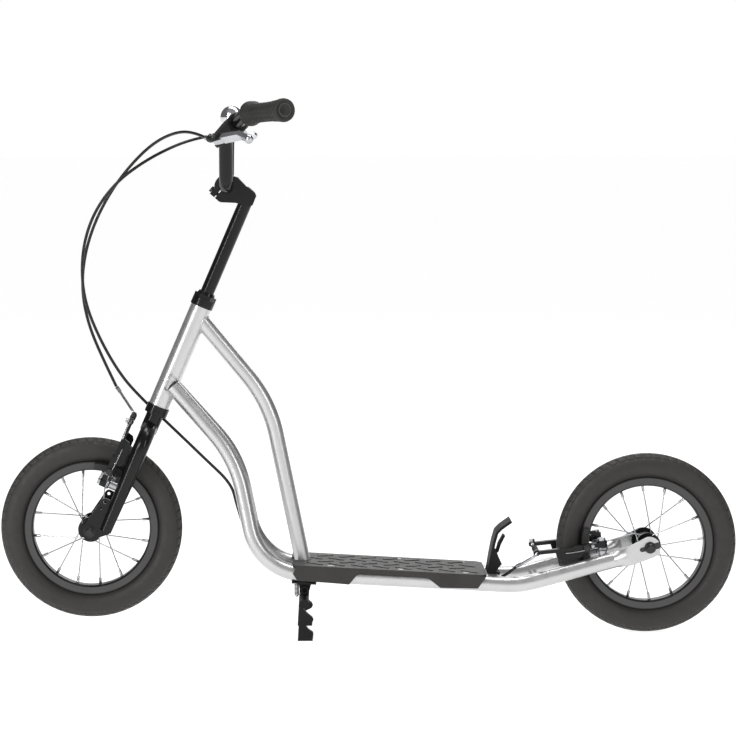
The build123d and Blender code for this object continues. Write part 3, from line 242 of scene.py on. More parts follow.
BRACKET = finish_of("bracket_plastic", linear(22, 21, 21), linear(32, 31, 31), 0.45, grain=3000.0,
                    grain_depth=2e-5, cell=2200.0, cell_depth=3e-5, specular=0.3)
GRIP = finish_of("grip_rubber", linear(42, 42, 41), linear(54, 54, 52), 0.62, grain=3600.0, grain_depth=4e-5,
                 cell=1300.0, cell_depth=5e-5, specular=0.25)
CHROME = finish_of("chrome", linear(228, 229, 232), linear(214, 215, 220), 0.09, metallic=1.0, grain=600.0,
                   grain_depth=3e-6, spread=0.04)
ALLOY = finish_of("alloy", linear(196, 197, 200), linear(170, 171, 175), 0.3, metallic=1.0, grain=2800.0,
                  grain_depth=1.2e-5)
STEEL = finish_of("steel", linear(186, 187, 190), linear(150, 151, 154), 0.28, metallic=1.0, grain=2200.0,
                  grain_depth=1.5e-5)
DARK_STEEL = finish_of("dark_steel", linear(52, 51, 52), linear(74, 73, 74), 0.34, metallic=0.7, grain=2200.0,
                       grain_depth=1.5e-5)
HOUSING = finish_of("cable_housing", linear(14, 14, 15), linear(24, 24, 25), 0.34, coat=0.2, grain=1500.0,
                    grain_depth=1e-5, specular=0.25)
PAD = finish_of("pad_rubber", linear(38, 37, 37), linear(52, 51, 50), 0.66, grain=2600.0, grain_depth=4e-5)
AXLES = {"front": FRONT_AXLE, "rear": REAR_AXLE}
TYRE = {end: tyre_finish(end + "_tyre_rubber", centre) for end, centre in AXLES.items()}
RIM = {end: rim_finish(end + "_rim_black", centre) for end, centre in AXLES.items()}

LOOKS = (
    (SILVER, "head_tube upper_tube lower_tube_left lower_tube_right cross_plates"),
    (SATIN_BLACK, "heel_guard stand_bracket stand"),
    (BLACK, "headset_cups headset_races fork_steerer fork_blade_left "
            "fork_blade_right fork_cable_guide stem handlebar front_hub rear_hub"),
    (ARM_BLACK, "front_arm_left front_arm_right rear_arm_left rear_arm_right"),
    (BOARD, "footboard"),
    (BRACKET, "lever_bracket_left lever_bracket_right bell_striker"),
    (GRIP, "grip_left grip_right"),
    (CHROME, "bell"),
    (ALLOY, "lever_left lever_right front_noodle rear_noodle"),
    (STEEL, "deck_screws stand_spring front_brake_posts rear_brake_posts lever_hardware front_spokes "
            "rear_spokes rear_cable_clips"),
    (DARK_STEEL, "stem_bolts front_axle rear_axle"),
    (HOUSING, "front_cable rear_cable_front rear_cable_rear"),
    (PAD, "front_shoe_left front_shoe_right rear_shoe_left rear_shoe_right front_boot rear_boot "
          "front_inner_tube rear_inner_tube"),
    (TYRE["front"], "front_tyre"),
    (TYRE["rear"], "rear_tyre"),
    (RIM["front"], "front_rim"),
    (RIM["rear"], "rear_rim"),
)
for material, names in LOOKS:
    for name in names.split():
        nodes[name].data.materials.clear()
        nodes[name].data.materials.append(material)


# ---------------------------------------------------------------- pieces
def piece(name, points, faces, material, slot, body=None, smooth=True, in_row=False):
    """Mesh piece from riding-frame points in millimetres, riding on a CAD body when one is given."""
    mesh = bpy.data.meshes.new(name)
    mesh.from_pydata([tuple(p) if in_row else tuple(place(p)) for p in points], [], faces)
    mesh.validate()
    mesh.polygons.foreach_set("use_smooth", [smooth] * len(mesh.polygons))
    mesh.materials.append(material)
    made = bpy.data.objects.new(name, mesh)
    bpy.context.scene.collection.objects.link(made)
    if body:
        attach(made, body)
    return made


def ring_faces(rings, around, closed_path=False, caps=True):
    """Quads between rings of equal size, with end caps on an open path."""
    faces = []
    steps = rings if closed_path else rings - 1
    for i in range(steps):
        j = (i + 1) % rings
        for k in range(around):
            m = (k + 1) % around
            faces.append((i * around + k, i * around + m, j * around + m, j * around + k))
    if caps and not closed_path:
        faces.append(tuple(reversed(range(around))))
        faces.append(tuple(range((rings - 1) * around, rings * around)))
    return faces


def square_to(along):
    """Two directions at right angles to a unit direction and to each other."""
    side = along.orthogonal().normalized()
    return side, along.cross(side)


def circle(centre, side, other, radii):
    """Points evenly spaced round a centre, one for each radius."""
    points = []
    for k, radius in enumerate(radii):
        turn = 2 * pi * k / len(radii)
        points.append(centre + (side * cos(turn) + other * sin(turn)) * radius)
    return points


WIRE_SIDES = 8


def swept(path, radius, closed=False):
    """Points and faces of a round wire along a path. radius is one number, or one for each path point."""
    path = [Vector(p) for p in path]
    count = len(path)
    points = []
    side = None
    for i, at in enumerate(path):
        before = path[i - 1] if i or closed else at
        after = path[(i + 1) % count] if i < count - 1 or closed else at
        along = (after - before).normalized()
        if side is None:
            side = along.orthogonal().normalized()
        side = (side - along * side.dot(along)).normalized()
        size = radius[i] if hasattr(radius, "__len__") else radius
        points += circle(at, side, along.cross(side), [size] * WIRE_SIDES)
    return points, ring_faces(count, WIRE_SIDES, closed)


def lathe(name, start, along, outline, material, slot, body, around=32, smooth=True, loop=False):
    """Turned shape from (radius, height) pairs, closed on its axis, or hollow where the outline is a loop."""
    along = along.normalized()
    side, other = square_to(along)
    points = []
    for radius, height in outline:
        points += circle(start + along * height, side, other, [radius] * around)
    return piece(name, points, ring_faces(len(outline), around, loop), material, slot, body, smooth)


def on_side(point, side):
    """A right-hand point on the wanted side."""
    return Vector((point.x, point.y * side, point.z))


# ---------------------------------------------------------------- tyres
TYRE_R = 148.0
HALF_WIDTH = 22.0
CROWN = TYRE_R - HALF_WIDTH
SIDEWALL_R = 17.4
BEAD_Y, BEAD_SEAT, BEAD_TOP, BEAD_LOW = 11.0, 106.0, 109.8, 102.4
BEAD = (                         # from the rim's edge round under the bead and up inside
    (BEAD_Y, BEAD_SEAT), (BEAD_Y - 0.3, BEAD_LOW + 0.4), (BEAD_Y - 2.2, BEAD_LOW),
    (BEAD_Y - 4.2, BEAD_LOW + 0.4), (BEAD_Y - 3.4, BEAD_TOP + 1.2),
)
WALL = 3.0
INSIDE_BEAD_SHIFT = (-0.2, 0.8)                  # moves the lowest inside point clear of the bead
CROWN_STEPS, SIDEWALL_STEPS = 30, 14             # mesh steps of the outside
INSIDE_CROWN_STEPS, INSIDE_SIDEWALL_STEPS = 12, 8
LINE_STEPS = (4, 5, 11, 12)                      # steps of the sidewall that are sunk, as two fine lines
LINE_OFFSET = (-0.18, -0.09)                     # how far they are moved, sideways and along the radius
TREAD_BLOCKS = 62
TREAD_STEPS = 12                                 # mesh steps in each block
TREAD_DEPTH = 1.5
TREAD_FADE = radians(8)          # width over which the grooves across the tread run out
TREAD_EDGE = radians(52)         # this and the angles below are measured from the middle of the crown
RING_GROOVES = ((radians(19), radians(23.5)), (radians(41), radians(45)))
MIDDLE_GROOVE, MIDDLE_SHARE = radians(2.2), 0.9  # its half width, and its share of the full depth
CROSS_FROM = radians(8)
CROSS_GROOVE = 0.74              # share of a block at which the groove across the tread starts
CROSS_LEAN = 0.55                # how far that groove leans round the tyre on its way out


def sidewall(depth, share):
    """Point on the right sidewall's arc, or a depth below it, at a share of its way down to the bead."""
    middle_y = HALF_WIDTH - SIDEWALL_R
    turn = atan2(BEAD_TOP - CROWN, BEAD_Y - middle_y) * share
    reach = SIDEWALL_R + (sqrt((BEAD_Y - middle_y) ** 2 + (BEAD_TOP - CROWN) ** 2) - SIDEWALL_R) * share
    return middle_y + (reach - depth) * cos(turn), CROWN + (reach - depth) * sin(turn)


def tyre_profile():
    """(y, radius, turn) points of the closed section. turn is the angle from the crown, or None elsewhere."""
    half = []
    for k in range(CROWN_STEPS + 1):
        turn = radians(90) * k / CROWN_STEPS
        half.append((HALF_WIDTH * sin(turn), CROWN + HALF_WIDTH * cos(turn), turn))
    for k in range(1, SIDEWALL_STEPS + 1):
        y, r = sidewall(0.0, k / SIDEWALL_STEPS)
        sunk_y, sunk_r = LINE_OFFSET if k in LINE_STEPS else (0.0, 0.0)
        half.append((y + sunk_y, r + sunk_r, None))
    half += [(y, r, None) for y, r in BEAD]
    for k in range(INSIDE_SIDEWALL_STEPS, 0, -1):
        y, r = sidewall(WALL, k / INSIDE_SIDEWALL_STEPS)
        shift_y, shift_r = INSIDE_BEAD_SHIFT if k == INSIDE_SIDEWALL_STEPS else (0.0, 0.0)
        half.append((y + shift_y, r + shift_r, None))
    inside = HALF_WIDTH - WALL
    for k in range(INSIDE_CROWN_STEPS, -1, -1):
        turn = radians(90) * k / INSIDE_CROWN_STEPS
        half.append((inside * sin(turn), CROWN + inside * cos(turn), None))
    left = [(-y, r, None if t is None else -t) for y, r, t in reversed(half[1:-1])]
    return half + left


def groove(turn, share):
    """Depth of the tread's grooves at an angle from the crown and a share of the way round one block."""
    if turn is None or abs(turn) > TREAD_EDGE:
        return 0.0
    out = abs(turn)
    half_block = 0.5 if turn > 0 else 0.0
    lean = (share + half_block + out * CROSS_LEAN) % 1.0
    cross = 1.0 if lean > CROSS_GROOVE and out > CROSS_FROM else 0.0
    ring = 1.0 if any(low < out < high for low, high in RING_GROOVES) else 0.0
    middle = MIDDLE_SHARE if out < MIDDLE_GROOVE else 0.0
    fade = min(1.0, (TREAD_EDGE - out) / TREAD_FADE)
    return TREAD_DEPTH * max(cross * fade, ring, middle)


def tyre(end, centre):
    """Hollow tyre with tread blocks, sidewall lines and beads."""
    profile = tyre_profile()
    rings = TREAD_BLOCKS * TREAD_STEPS
    points = []
    for i in range(rings):
        turn_round = 2 * pi * i / rings
        share = (i % TREAD_STEPS) / TREAD_STEPS
        out = Vector((cos(turn_round), 0, sin(turn_round)))
        for y, r, turn in profile:
            cut = groove(turn, share)
            if cut:
                y -= cut * sin(turn)
                r -= cut * cos(turn)
            points.append(centre + out * r + SIDEWAYS * y)
    faces = [tuple(reversed(f)) for f in ring_faces(rings, len(profile), closed_path=True)]
    made = piece(end + "_tyre_treaded", points, faces, TYRE[end], "tyre", end + "_wheel")
    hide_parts(end + "_tyre")


for end, centre in AXLES.items():
    tyre(end, centre)

# ---------------------------------------------------------------- cables
CABLE_R = 2.5
GUIDE = Vector((-362.5, 25.2, 317.8))
FRONT_ROUTE = [
    (-299.5, -98, 771.5), (-320, -71, 779), (-350, -32, 777), (-387, 10, 757), (-424, 35, 718),
    (-456, 43, 670), (-480, 45, 616), (-493, 46, 560), (-493.5, 47, 506), (-481, 47.5, 455),
    (-458, 47.2, 405), (-429.3, 47, 352.8),
]
REAR_FRONT_ROUTE = [
    (-299.5, 98, 771.5), (-324, 71, 766), (-361, 45, 750), (-405, 28, 723), (-446, 21, 688), (-477, 18, 641),
    (-492.5, 17, 588), (-493.5, 18, 534), (-484, 20, 486), (-461, 22, 436), (-431, 24, 387), (-400, 25, 350),
    GUIDE,
]
REAR_ROUTE = [
    GUIDE, (-320, 25.3, 281.5), (-277, 31, 243), (-231.5, 39, 203), (-220.5, 33, 168),
    (-204, 26, 126), (-168, 27, 87), (-126, 31, 71), (-75, 32, 70), (-15, 33, 70.6), (45, 31.5, 70),
    (105, 28, 70.8), (155, 12, 71.5), (190, -8, 72.5), (217, -28, 77), (240.4, -39, 101.8),
]
CABLE_SIDES = 16
CABLE_STEPS = 16                 # curve steps between two route points
FRONT_SPLIT = 0.84               # share of the front housing at which it leaves the fork for the brake arm
DECK_FROM, DECK_TO = 0.52, 0.8   # shares of the rear housing between which it is held under the footboard


def cable(name, route):
    """Points of a housing on one smooth curve along its route, as rings of CABLE_SIDES points."""
    curve = bpy.data.curves.new(name, "CURVE")
    curve.dimensions = "3D"
    curve.bevel_depth = CABLE_R * MM
    curve.bevel_resolution = CABLE_SIDES // 2 - 2
    curve.resolution_u = CABLE_STEPS
    curve.use_fill_caps = False
    spline = curve.splines.new("NURBS")
    spline.points.add(len(route) - 1)
    for slot, corner in zip(spline.points, route):
        slot.co = (*place(corner), 1.0)
    spline.order_u = 3
    spline.use_endpoint_u = True
    made = bpy.data.objects.new(name, curve)
    bpy.context.scene.collection.objects.link(made)
    bpy.context.view_layer.update()
    mesh = bpy.data.meshes.new_from_object(made.evaluated_get(bpy.context.evaluated_depsgraph_get()))
    bpy.data.objects.remove(made)
    points = [v.co.copy() for v in mesh.vertices]
    bpy.data.meshes.remove(mesh)
    return points


def cable_piece(name, points, first, last, a, b=None):
    """Part of a housing, between two shares of its length, that rides on one body, or stays fixed where it is
    drawn when a second body is given.
    """
    rings = len(points) // CABLE_SIDES
    low, high = round(first * (rings - 1)), round(last * (rings - 1))
    cut = points[low * CABLE_SIDES:(high + 1) * CABLE_SIDES]
    faces = ring_faces(high - low + 1, CABLE_SIDES)
    made = piece(name, cut, faces, HOUSING, "cable_housing", in_row=True)
    mesh = bmesh.new()
    mesh.from_mesh(made.data)
    bmesh.ops.recalc_face_normals(mesh, faces=mesh.faces)
    mesh.to_mesh(made.data)
    mesh.free()
    if b:
        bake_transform(made)
    else:
        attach(made, a)
    return made


front = cable("front_route", FRONT_ROUTE)
upper = cable_piece("front_housing_upper", front, 0.0, FRONT_SPLIT, "handlebar", "fork")
cable_piece("front_housing_lower", front, FRONT_SPLIT, 1.0, "fork", "front_arm_right")
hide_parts("front_cable")
middle = cable("rear_front_route", REAR_FRONT_ROUTE)
steered = cable_piece("rear_housing_steered", middle, 0.0, 1.0, "handlebar", "fork")
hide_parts("rear_cable_front")
rear = cable("rear_route", REAR_ROUTE)
low = cable_piece("rear_housing_front", rear, 0.0, DECK_FROM, "fork", "frame")
cable_piece("rear_housing_deck", rear, DECK_FROM, DECK_TO, "frame")
cable_piece("rear_housing_back", rear, DECK_TO, 1.0, "frame", "rear_arm_left")
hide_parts("rear_cable_rear")

# ---------------------------------------------------------------- weld beads
BEAD_R, BRIDGE_BEAD_R = 1.5, 1.1
BEAD_STEPS = 72
RIPPLE, RIPPLE_STEP = 0.16, 2.1  # share of the bead's radius, and radians from one mesh ring to the next


def mitre(origin, along, radius, onto, axis, onto_radius):
    """Closed line where a tube meets a round wall, at the crossing that is further along its direction.

    Where the tube's side passes the wall without meeting it, the line takes the nearest approach.
    """
    along, axis = along.normalized(), axis.normalized()
    line = []
    for corner in circle(origin, *square_to(along), [radius] * BEAD_STEPS):
        start = corner - onto
        flat, slope = start - axis * start.dot(axis), along - axis * along.dot(axis)
        a, b, c = slope.dot(slope), 2 * flat.dot(slope), flat.dot(flat) - onto_radius ** 2
        root = max(b * b - 4 * a * c, 0.0)
        line.append(start + along * ((-b + sqrt(root)) / (2 * a)) + onto)
    return line


def weld(name, line, size=BEAD_R):
    """Rippled weld bead on the frame, along a closed line."""
    ripple = [size * (1 + RIPPLE * sin(k * RIPPLE_STEP)) for k in range(len(line))]
    points, faces = swept(line, ripple, closed=True)
    return piece(name, points, faces, SILVER, "silver_paint", "frame")


RAIL_Y = 55.0
UPPER_TOP, UPPER_KNEE = Vector((-301.2, 0, 481.0)), Vector((-176.6, 0, 346.2))
LOWER_TOP, LOWER_KNEE = Vector((-334.5, 13.2, 364.0)), Vector((-225.2, 30.0, 252.4))
STAY_KNEE = Vector((246.8, RAIL_Y, 74.5))
STAY_RISE = radians(18.2)
STAY = Vector((cos(STAY_RISE), 0, sin(STAY_RISE)))
BRIDGE_X, BRIDGE_R, BRIDGE_DROP = 276.0, 6.0, 5.0
BRIDGE = STAY_KNEE + STAY * ((BRIDGE_X - STAY_KNEE.x) / STAY.x)

weld("upper_tube_weld", mitre(UPPER_TOP, UPPER_KNEE - UPPER_TOP, TUBE_R, HEAD, AXIS, HEAD_R))
for side in SIDES:
    top, knee = on_side(LOWER_TOP, side), on_side(LOWER_KNEE, side)
    weld("lower_tube_weld_" + SIDE_NAME[side], mitre(top, knee - top, TUBE_R, HEAD, AXIS, HEAD_R))
    middle = Vector((BRIDGE.x, 0, BRIDGE.z - BRIDGE_DROP))
    line = mitre(middle, SIDEWAYS * -side, BRIDGE_R, on_side(BRIDGE, side), STAY, TUBE_R)
    weld("bridge_weld_" + SIDE_NAME[side], line, BRIDGE_BEAD_R)

# ---------------------------------------------------------------- brakes
ARM_LENGTH, ARM_TIP_Y, BRAKE_Y = 108.0, 46.5, 45.0
DROP = radians(9.4)
BRAKES = {                       # middle between the posts, arm direction, outward direction, noodle's side
    "front": (HEAD + AXIS * -232.1 + FORWARD * 31.5, AXIS, FORWARD, RIGHT),
    "rear": (Vector((378.0, 0, 145.6)), Vector((-cos(DROP), 0, -sin(DROP))),
             Vector((-sin(DROP), 0, cos(DROP))), LEFT),
}
TIP = ARM_LENGTH - 1
WIRE_R, SPRING_WIRE_R = 0.8, 0.75
WIRE_ROUTE = (                   # along the arm from its tip, sideways and outwards
    (0, -9, 0), (0, -4, 0), (0, 2, 0), (0, 14, 0), (0, 26, 0), (0, 38, 0), (0, 44, 0), (0, 52, 0.4),
    (-2, 56, 1.0), (-8, 58.5, 1.6), (-16, 59.5, 1.6), (-24, 59, 1.0),
)
WIRE_END_AT = (TIP - 22, 59.1, 1.2)
WIRE_END = ((0.1, 0), (1.3, 0), (1.4, 0.4), (1.4, 2), (1.1, 2.6), (1.1, 4), (1.4, 4.6), (1.4, 7.4), (0.1, 8))
BOLT_FLATS, BOLT_HEIGHT, BOLT_SEAT = 8, 4.6, 4.2
WASHER = ((0.1, 0), (5.2, 0), (5.4, 0.2), (5.4, 1.0), (5.2, 1.2), (0.1, 1.2))
WASHER_SEAT = 3.1
ADJUSTER_SCREW = ((0.1, 0), (1.6, 0), (1.6, 6), (2.8, 6), (2.9, 6.4), (2.9, 8.2), (2.5, 8.6), (0.1, 8.6))
ADJUSTER_AT = (16, BRAKE_Y + 4, 2)
COIL_R, COIL_TURNS, COIL_STEPS = 9.6, 2.5, 60
COIL_OUT, COIL_RISE = -6.6, 4.6
SPRING_LEG = (                   # along the arm from its pivot, sideways and outwards
    (14, 54.9, -2.0), (28, 55.8, -3.4), (44, 56.2, -4.6), (58, 56.0, -5.0), (61, 54.6, -5.0),
    (61.6, 52.0, -5.0),
)
FOLDS, FOLD_STEP = 9, 4.1
FOLD = ((3.9, 2.0), (5.0, 3.4), (4.9, 4.0), (3.9, 5.2))
BELLOWS_START = ((3.0, 0), (3.6, 0), (3.9, 0.8))
BELLOWS_END = ((3.7, 39.2), (3.8, 40.1), (3.3, 40.1), (3.3, 1.2), (3.0, 0.6))
BELLOWS_Y = -3


def six_sided(name, start, along, flats, height, material, slot, body):
    """Bolt head with six flats, a chamfer and a washer face."""
    corner = flats / 2 / cos(radians(30))
    outline = (
        (0.1, 0), (corner * 1.02, 0), (corner * 1.02, 0.6), (corner * 0.97, 0.6), (corner, 0.9),
        (corner, height - 0.9), (corner * 0.9, height), (corner * 0.45, height),
        (corner * 0.4, height - 0.5), (0.1, height - 0.5),
    )
    return lathe(name, start, along, outline, material, slot, body, around=6, smooth=False)


def brake_details(end, origin, arm_dir, out_dir, noodle_side):
    """Bare wire with its clamp and end cap, bellows, and each arm's spring and adjusting screw."""
    def at(side, along, y, out=0.0):
        return origin + arm_dir * along + SIDEWAYS * (side * y) + out_dir * out

    anchor_side = -noodle_side
    anchor_arm = end + "_arm_" + SIDE_NAME[anchor_side]
    path = [at(anchor_side, TIP + along, y, out) for along, y, out in WIRE_ROUTE]
    piece(end + "_brake_wire", *swept(path, WIRE_R), STEEL, "steel", anchor_arm)
    lathe(end + "_wire_end", at(anchor_side, *WIRE_END_AT), -arm_dir, WIRE_END, ALLOY, "aluminium",
          anchor_arm, around=12)
    six_sided(end + "_anchor_bolt", at(anchor_side, TIP, ARM_TIP_Y, BOLT_SEAT), out_dir, BOLT_FLATS,
              BOLT_HEIGHT, STEEL, "steel", anchor_arm)
    lathe(end + "_anchor_washer", at(anchor_side, TIP, ARM_TIP_Y, WASHER_SEAT), out_dir, WASHER, STEEL,
          "steel", anchor_arm)
    folds = [(radius, height + FOLD_STEP * k) for k in range(FOLDS) for radius, height in FOLD]
    outline = (*BELLOWS_START, *folds, *BELLOWS_END)
    made = lathe(end + "_bellows", at(noodle_side, TIP, BELLOWS_Y), SIDEWAYS * noodle_side, outline, PAD,
                 "pad_rubber", end + "_arm_" + SIDE_NAME[noodle_side], loop=True)
    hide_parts(end + "_boot")
    for side in SIDES:
        body = end + "_arm_" + SIDE_NAME[side]
        spring = []
        for k in range(COIL_STEPS + 1):
            turn = 2 * pi * COIL_TURNS * k / COIL_STEPS
            out = COIL_OUT + COIL_RISE * k / COIL_STEPS
            spring.append(at(side, COIL_R * sin(turn), BRAKE_Y - COIL_R * cos(turn), out))
        spring += [at(side, *corner) for corner in SPRING_LEG]
        points, faces = swept(spring, SPRING_WIRE_R)
        piece(end + "_arm_spring_" + SIDE_NAME[side], points, faces, STEEL, "steel", body)
        lathe(end + "_adjuster_screw_" + SIDE_NAME[side], at(side, *ADJUSTER_AT), SIDEWAYS * side,
              ADJUSTER_SCREW, STEEL, "steel", body, around=16)


for end, layout in BRAKES.items():
    brake_details(end, *layout)

# ---------------------------------------------------------------- grips
BAR_ELBOW, BAR_END = Vector((-238.0, 152.0, 812.3)), Vector((-176.4, 266.0, 822.8))
BAR_R, BAR_GAP = 11.1, 0.3
GRIP_START, GRIP_LENGTH = 14.0, 117.0
GRIP_PROFILE = (
    (18.4, 0), (19.6, 2.4), (19.6, 6), (18.0, 10.5), (16.1, 16), (15.4, 26), (15.2, 52), (15.5, 72),
    (16.5, 90), (17.4, 102), (18.2, 108), (18.4, 112), (17.7, GRIP_LENGTH - 1.6), (16.0, GRIP_LENGTH),
)
GRIP_BORE = ((BAR_R + BAR_GAP, GRIP_LENGTH - 12), (BAR_R + BAR_GAP, 0.0))
GRIP_END = (                     # dished end face
    (14.6, GRIP_LENGTH - 0.1), (13.6, GRIP_LENGTH - 1.4), (4.6, GRIP_LENGTH - 1.4), (3.8, GRIP_LENGTH - 2.6),
    (0.1, GRIP_LENGTH - 2.6),
)
GRIP_AROUND = 96
RIB_FROM, RIB_TO, RIB_PITCH, RIB_DEPTH = 17.0, 104.0, 4.35, 0.75
RIB_STEP = 0.5                   # height between two mesh rings
RIB_GROOVE = 0.24                # share of the pitch that is groove
NOTCH_EVERY = 8                  # mesh points from one notch to the next
NOTCH_FROM = 0.5                 # share of the pitch at which a notch starts
COLLAR_HEIGHTS = (0.0, 0.4, 1.2, 2.4, 4.0, 6.0, 8.0, 10.5, 13.0, 15.5)
RIB_HEIGHTS = tuple(RIB_FROM + RIB_STEP * k for k in range(int((RIB_TO - RIB_FROM) / RIB_STEP) + 1))
END_HEIGHTS = (106.0, 108.0, 110.0, 112.0, 114.0, GRIP_LENGTH - 1.6, GRIP_LENGTH - 0.7, GRIP_LENGTH - 0.1)


def grip_radius(height):
    """Radius of the grip's smooth outline at a height."""
    for (r0, h0), (r1, h1) in zip(GRIP_PROFILE, GRIP_PROFILE[1:]):
        if h0 <= height <= h1:
            share = (height - h0) / (h1 - h0)
            share = share * share * (3 - 2 * share)
            return r0 + (r1 - r0) * share
    return GRIP_PROFILE[-1][0]


def ribbed_radii(height):
    """Radius at each point round the grip at a height, less the grooves between ribs and notches in them."""
    phase = ((height - RIB_FROM) / RIB_PITCH) % 1.0
    ribbed = RIB_FROM <= height <= RIB_TO
    smooth = grip_radius(height)
    radii = []
    for k in range(GRIP_AROUND):
        notch = k % NOTCH_EVERY == 0 and phase > NOTCH_FROM
        cut = ribbed and (phase < RIB_GROOVE or notch)
        radii.append(smooth - RIB_DEPTH if cut else smooth)
    return radii


def grip(side):
    """Hollow rubber grip on one end of the bar."""
    elbow = on_side(BAR_ELBOW, side)
    hand = (on_side(BAR_END, side) - elbow).normalized()
    start = elbow + hand * GRIP_START
    rings = [([radius] * GRIP_AROUND, height) for radius, height in GRIP_BORE]
    rings += [(ribbed_radii(height), height) for height in COLLAR_HEIGHTS + RIB_HEIGHTS + END_HEIGHTS]
    rings += [([radius] * GRIP_AROUND, height) for radius, height in GRIP_END]
    points = []
    for radii, height in rings:
        points += circle(start + hand * height, *square_to(hand), radii)
    made = piece("ribbed_grip_" + SIDE_NAME[side], points, ring_faces(len(rings), GRIP_AROUND), GRIP,
                 "grip_rubber", "handlebar")
    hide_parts("grip_" + SIDE_NAME[side])


for side in SIDES:
    grip(side)

# ---------------------------------------------------------------- stand spring
SPRING_LOW, SPRING_TOP = Vector((-113.8, -12, 28)), Vector((-116.0, -12, 58.0))
SPRING_R, SPRING_TURNS = 3.2, 11
TURN_STEPS = 20
HOOK, HOOK_MIDDLE = 3.0, 1.5     # lengths, from each end, to where the coil starts and to the hook's middle


def stand_coil():
    """Return spring of the stand, coiled between two hooks. It runs from the bracket to the leg and stays
    fixed where it is drawn.
    """
    length = (SPRING_TOP - SPRING_LOW).length
    along = (SPRING_TOP - SPRING_LOW).normalized()
    side, other = square_to(along)
    steps = SPRING_TURNS * TURN_STEPS
    path = [SPRING_LOW, SPRING_LOW + along * HOOK_MIDDLE]
    for k in range(steps + 1):
        turn = 2 * pi * SPRING_TURNS * k / steps
        rise = HOOK + (length - 2 * HOOK) * k / steps
        path.append(SPRING_LOW + along * rise + (side * cos(turn) + other * sin(turn)) * SPRING_R)
    path += [SPRING_TOP - along * HOOK_MIDDLE, SPRING_TOP]
    made = piece("stand_coil", *swept(path, SPRING_WIRE_R), DARK_STEEL, "steel")
    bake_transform(made)
    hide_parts("stand_spring")


stand_coil()

# ---------------------------------------------------------------- camera, light and floor
AIM = Vector((-0.002785, 0.0, 0.437392))
DISTANCE = 4.7
TURN, RISE = radians(-1.5), radians(5.3)
SENSOR, LENS = 36.0, 140.71
FAR = 200.0
camera_data = bpy.data.cameras.new("camera")
camera_data.sensor_width = SENSOR
camera_data.lens = LENS
camera_data.clip_end = FAR
camera = bpy.data.objects.new("camera", camera_data)
back = Vector((sin(TURN) * cos(RISE), -cos(TURN) * cos(RISE), sin(RISE)))
camera.location = AIM + back * DISTANCE
camera.rotation_mode = "QUATERNION"
camera.rotation_quaternion = (-back).to_track_quat("-Z", "Y")
bpy.context.scene.collection.objects.link(camera)
bpy.context.scene.camera = camera
bpy.context.scene.view_settings.view_transform = "Standard"

# the sky is white low down and grey overhead, with a dark wall at each side
SKY_LOW, SKY_HIGH = (0.1, 1.0), (0.3, 0.3)       # (height, brightness) where white ends and where grey starts
WALL_TONE = 0.14
WALL_FROM, WALL_FULL = 0.2, 0.42                 # sideways part of a unit direction: walls begin, are full
OPENING = 0.35                                   # how much further out they begin at the camera's side
world = bpy.data.worlds.new("studio")
bpy.context.scene.world = world
world.use_nodes = True
tree = world.node_tree
sky = tree.nodes["Background"]
sky.inputs["Strength"].default_value = 1.0
parts = tree.nodes.new("ShaderNodeSeparateXYZ")
tree.links.new(tree.nodes.new("ShaderNodeTexCoord").outputs["Generated"], parts.inputs[0])


def sky_math(operation, *values):
    """Output of a Math node in the world's tree."""
    made = tree.nodes.new("ShaderNodeMath")
    made.operation = operation
    for socket, value in zip(made.inputs, values):
        feed(tree, socket, value)
    return made.outputs[0]


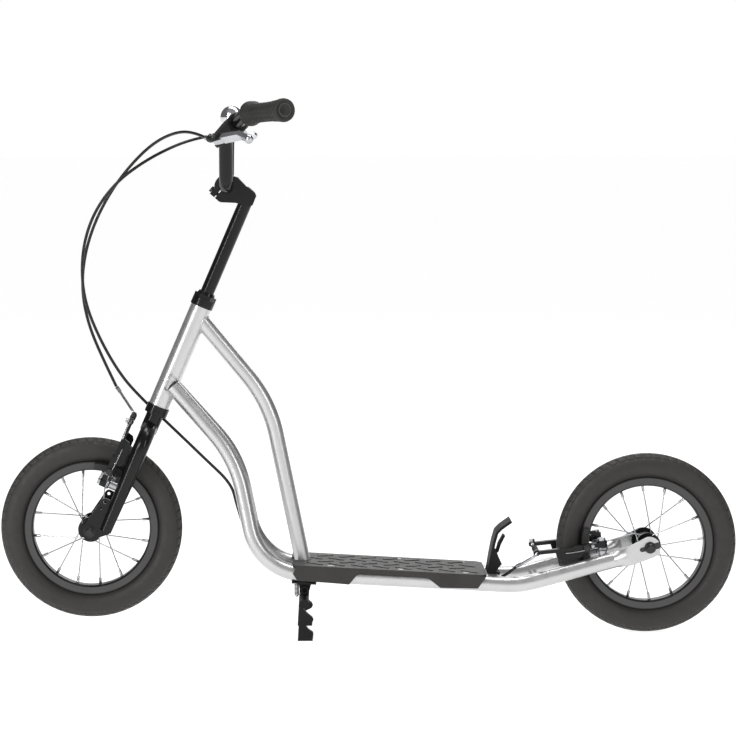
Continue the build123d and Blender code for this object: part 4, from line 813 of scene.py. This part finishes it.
ramp = tree.nodes.new("ShaderNodeValToRGB")
for stop, (height, tone) in zip(ramp.color_ramp.elements, (SKY_LOW, SKY_HIGH)):
    stop.position = height
    stop.color = (tone, tone, tone, 1)
tree.links.new(parts.outputs["Z"], ramp.inputs[0])
to_side = sky_math("ABSOLUTE", parts.outputs["X"])
in_front = sky_math("LESS_THAN", parts.outputs["Y"], 0.0)
wall = tree.nodes.new("ShaderNodeMapRange")
feed(tree, wall.inputs["Value"], sky_math("MULTIPLY_ADD", in_front, -OPENING, to_side))
feed(tree, wall.inputs["From Min"], WALL_FROM)
feed(tree, wall.inputs["From Max"], WALL_FULL)
shaded = tree.nodes.new("ShaderNodeMix")
shaded.data_type = "RGBA"
feed(tree, shaded.inputs[0], wall.outputs[0])
feed(tree, shaded.inputs[6], ramp.outputs[0])
feed(tree, shaded.inputs[7], (WALL_TONE, WALL_TONE, WALL_TONE, 1))
tree.links.new(shaded.outputs[2], sky.inputs["Color"])


def lamp(name, at, aim, size, watts):
    """Soft rectangular light that faces a point."""
    data = bpy.data.lights.new(name, "AREA")
    data.shape = "RECTANGLE"
    data.size, data.size_y = size
    data.energy = watts
    made = bpy.data.objects.new(name, data)
    made.location = at
    made.rotation_mode = "QUATERNION"
    made.rotation_quaternion = (Vector(aim) - Vector(at)).to_track_quat("-Z", "Y")
    bpy.context.scene.collection.objects.link(made)


lamp("key", (-2.2, -2.6, 2.6), (0, 0, 0.4), (1.6, 1.2), 45)
lamp("strip", (-2.6, -2.3, 0.9), (0, 0, 0.5), (0.14, 2.6), 34)
lamp("fill", (2.6, -2.4, 1.6), (0, 0, 0.4), (0.8, 2.0), 22)
lamp("top", (0.3, 0.4, 3.0), (0, 0, 0.3), (3.0, 0.8), 45)
lamp("rim", (0.5, 3.0, 1.8), (0, 0, 0.4), (2.4, 1.6), 25)

FLOOR_HALF, FLOOR_DROP = 40.0, 0.0002
FLOOR_GLOW = 0.88
floor_mesh = bpy.data.meshes.new("floor")
floor_corners = [
    (x * FLOOR_HALF, y * FLOOR_HALF, -FLOOR_DROP) for x, y in ((-1, -1), (1, -1), (1, 1), (-1, 1))
]
floor_mesh.from_pydata(floor_corners, [], [(0, 1, 2, 3)])
floor_look = Graph(
    "floor_paint", specular_ior_level=0.1, emission_color=(1.0, 1.0, 1.0, 1.0), emission_strength=FLOOR_GLOW,
)
pale = floor_look.mix(floor_look.noise(3.0, 3.0), linear(166, 166, 166), linear(170, 170, 170))
floor_mesh.materials.append(floor_look.use(
    base_color=pale, roughness=floor_look.remap(floor_look.noise(8.0, 3.0), 0.3, 0.7, 0.75, 0.9),
    normal=floor_look.bump(floor_look.noise(300.0, 2.0), 2e-5),
))
floor = bpy.data.objects.new("floor", floor_mesh)
bpy.context.scene.collection.objects.link(floor)
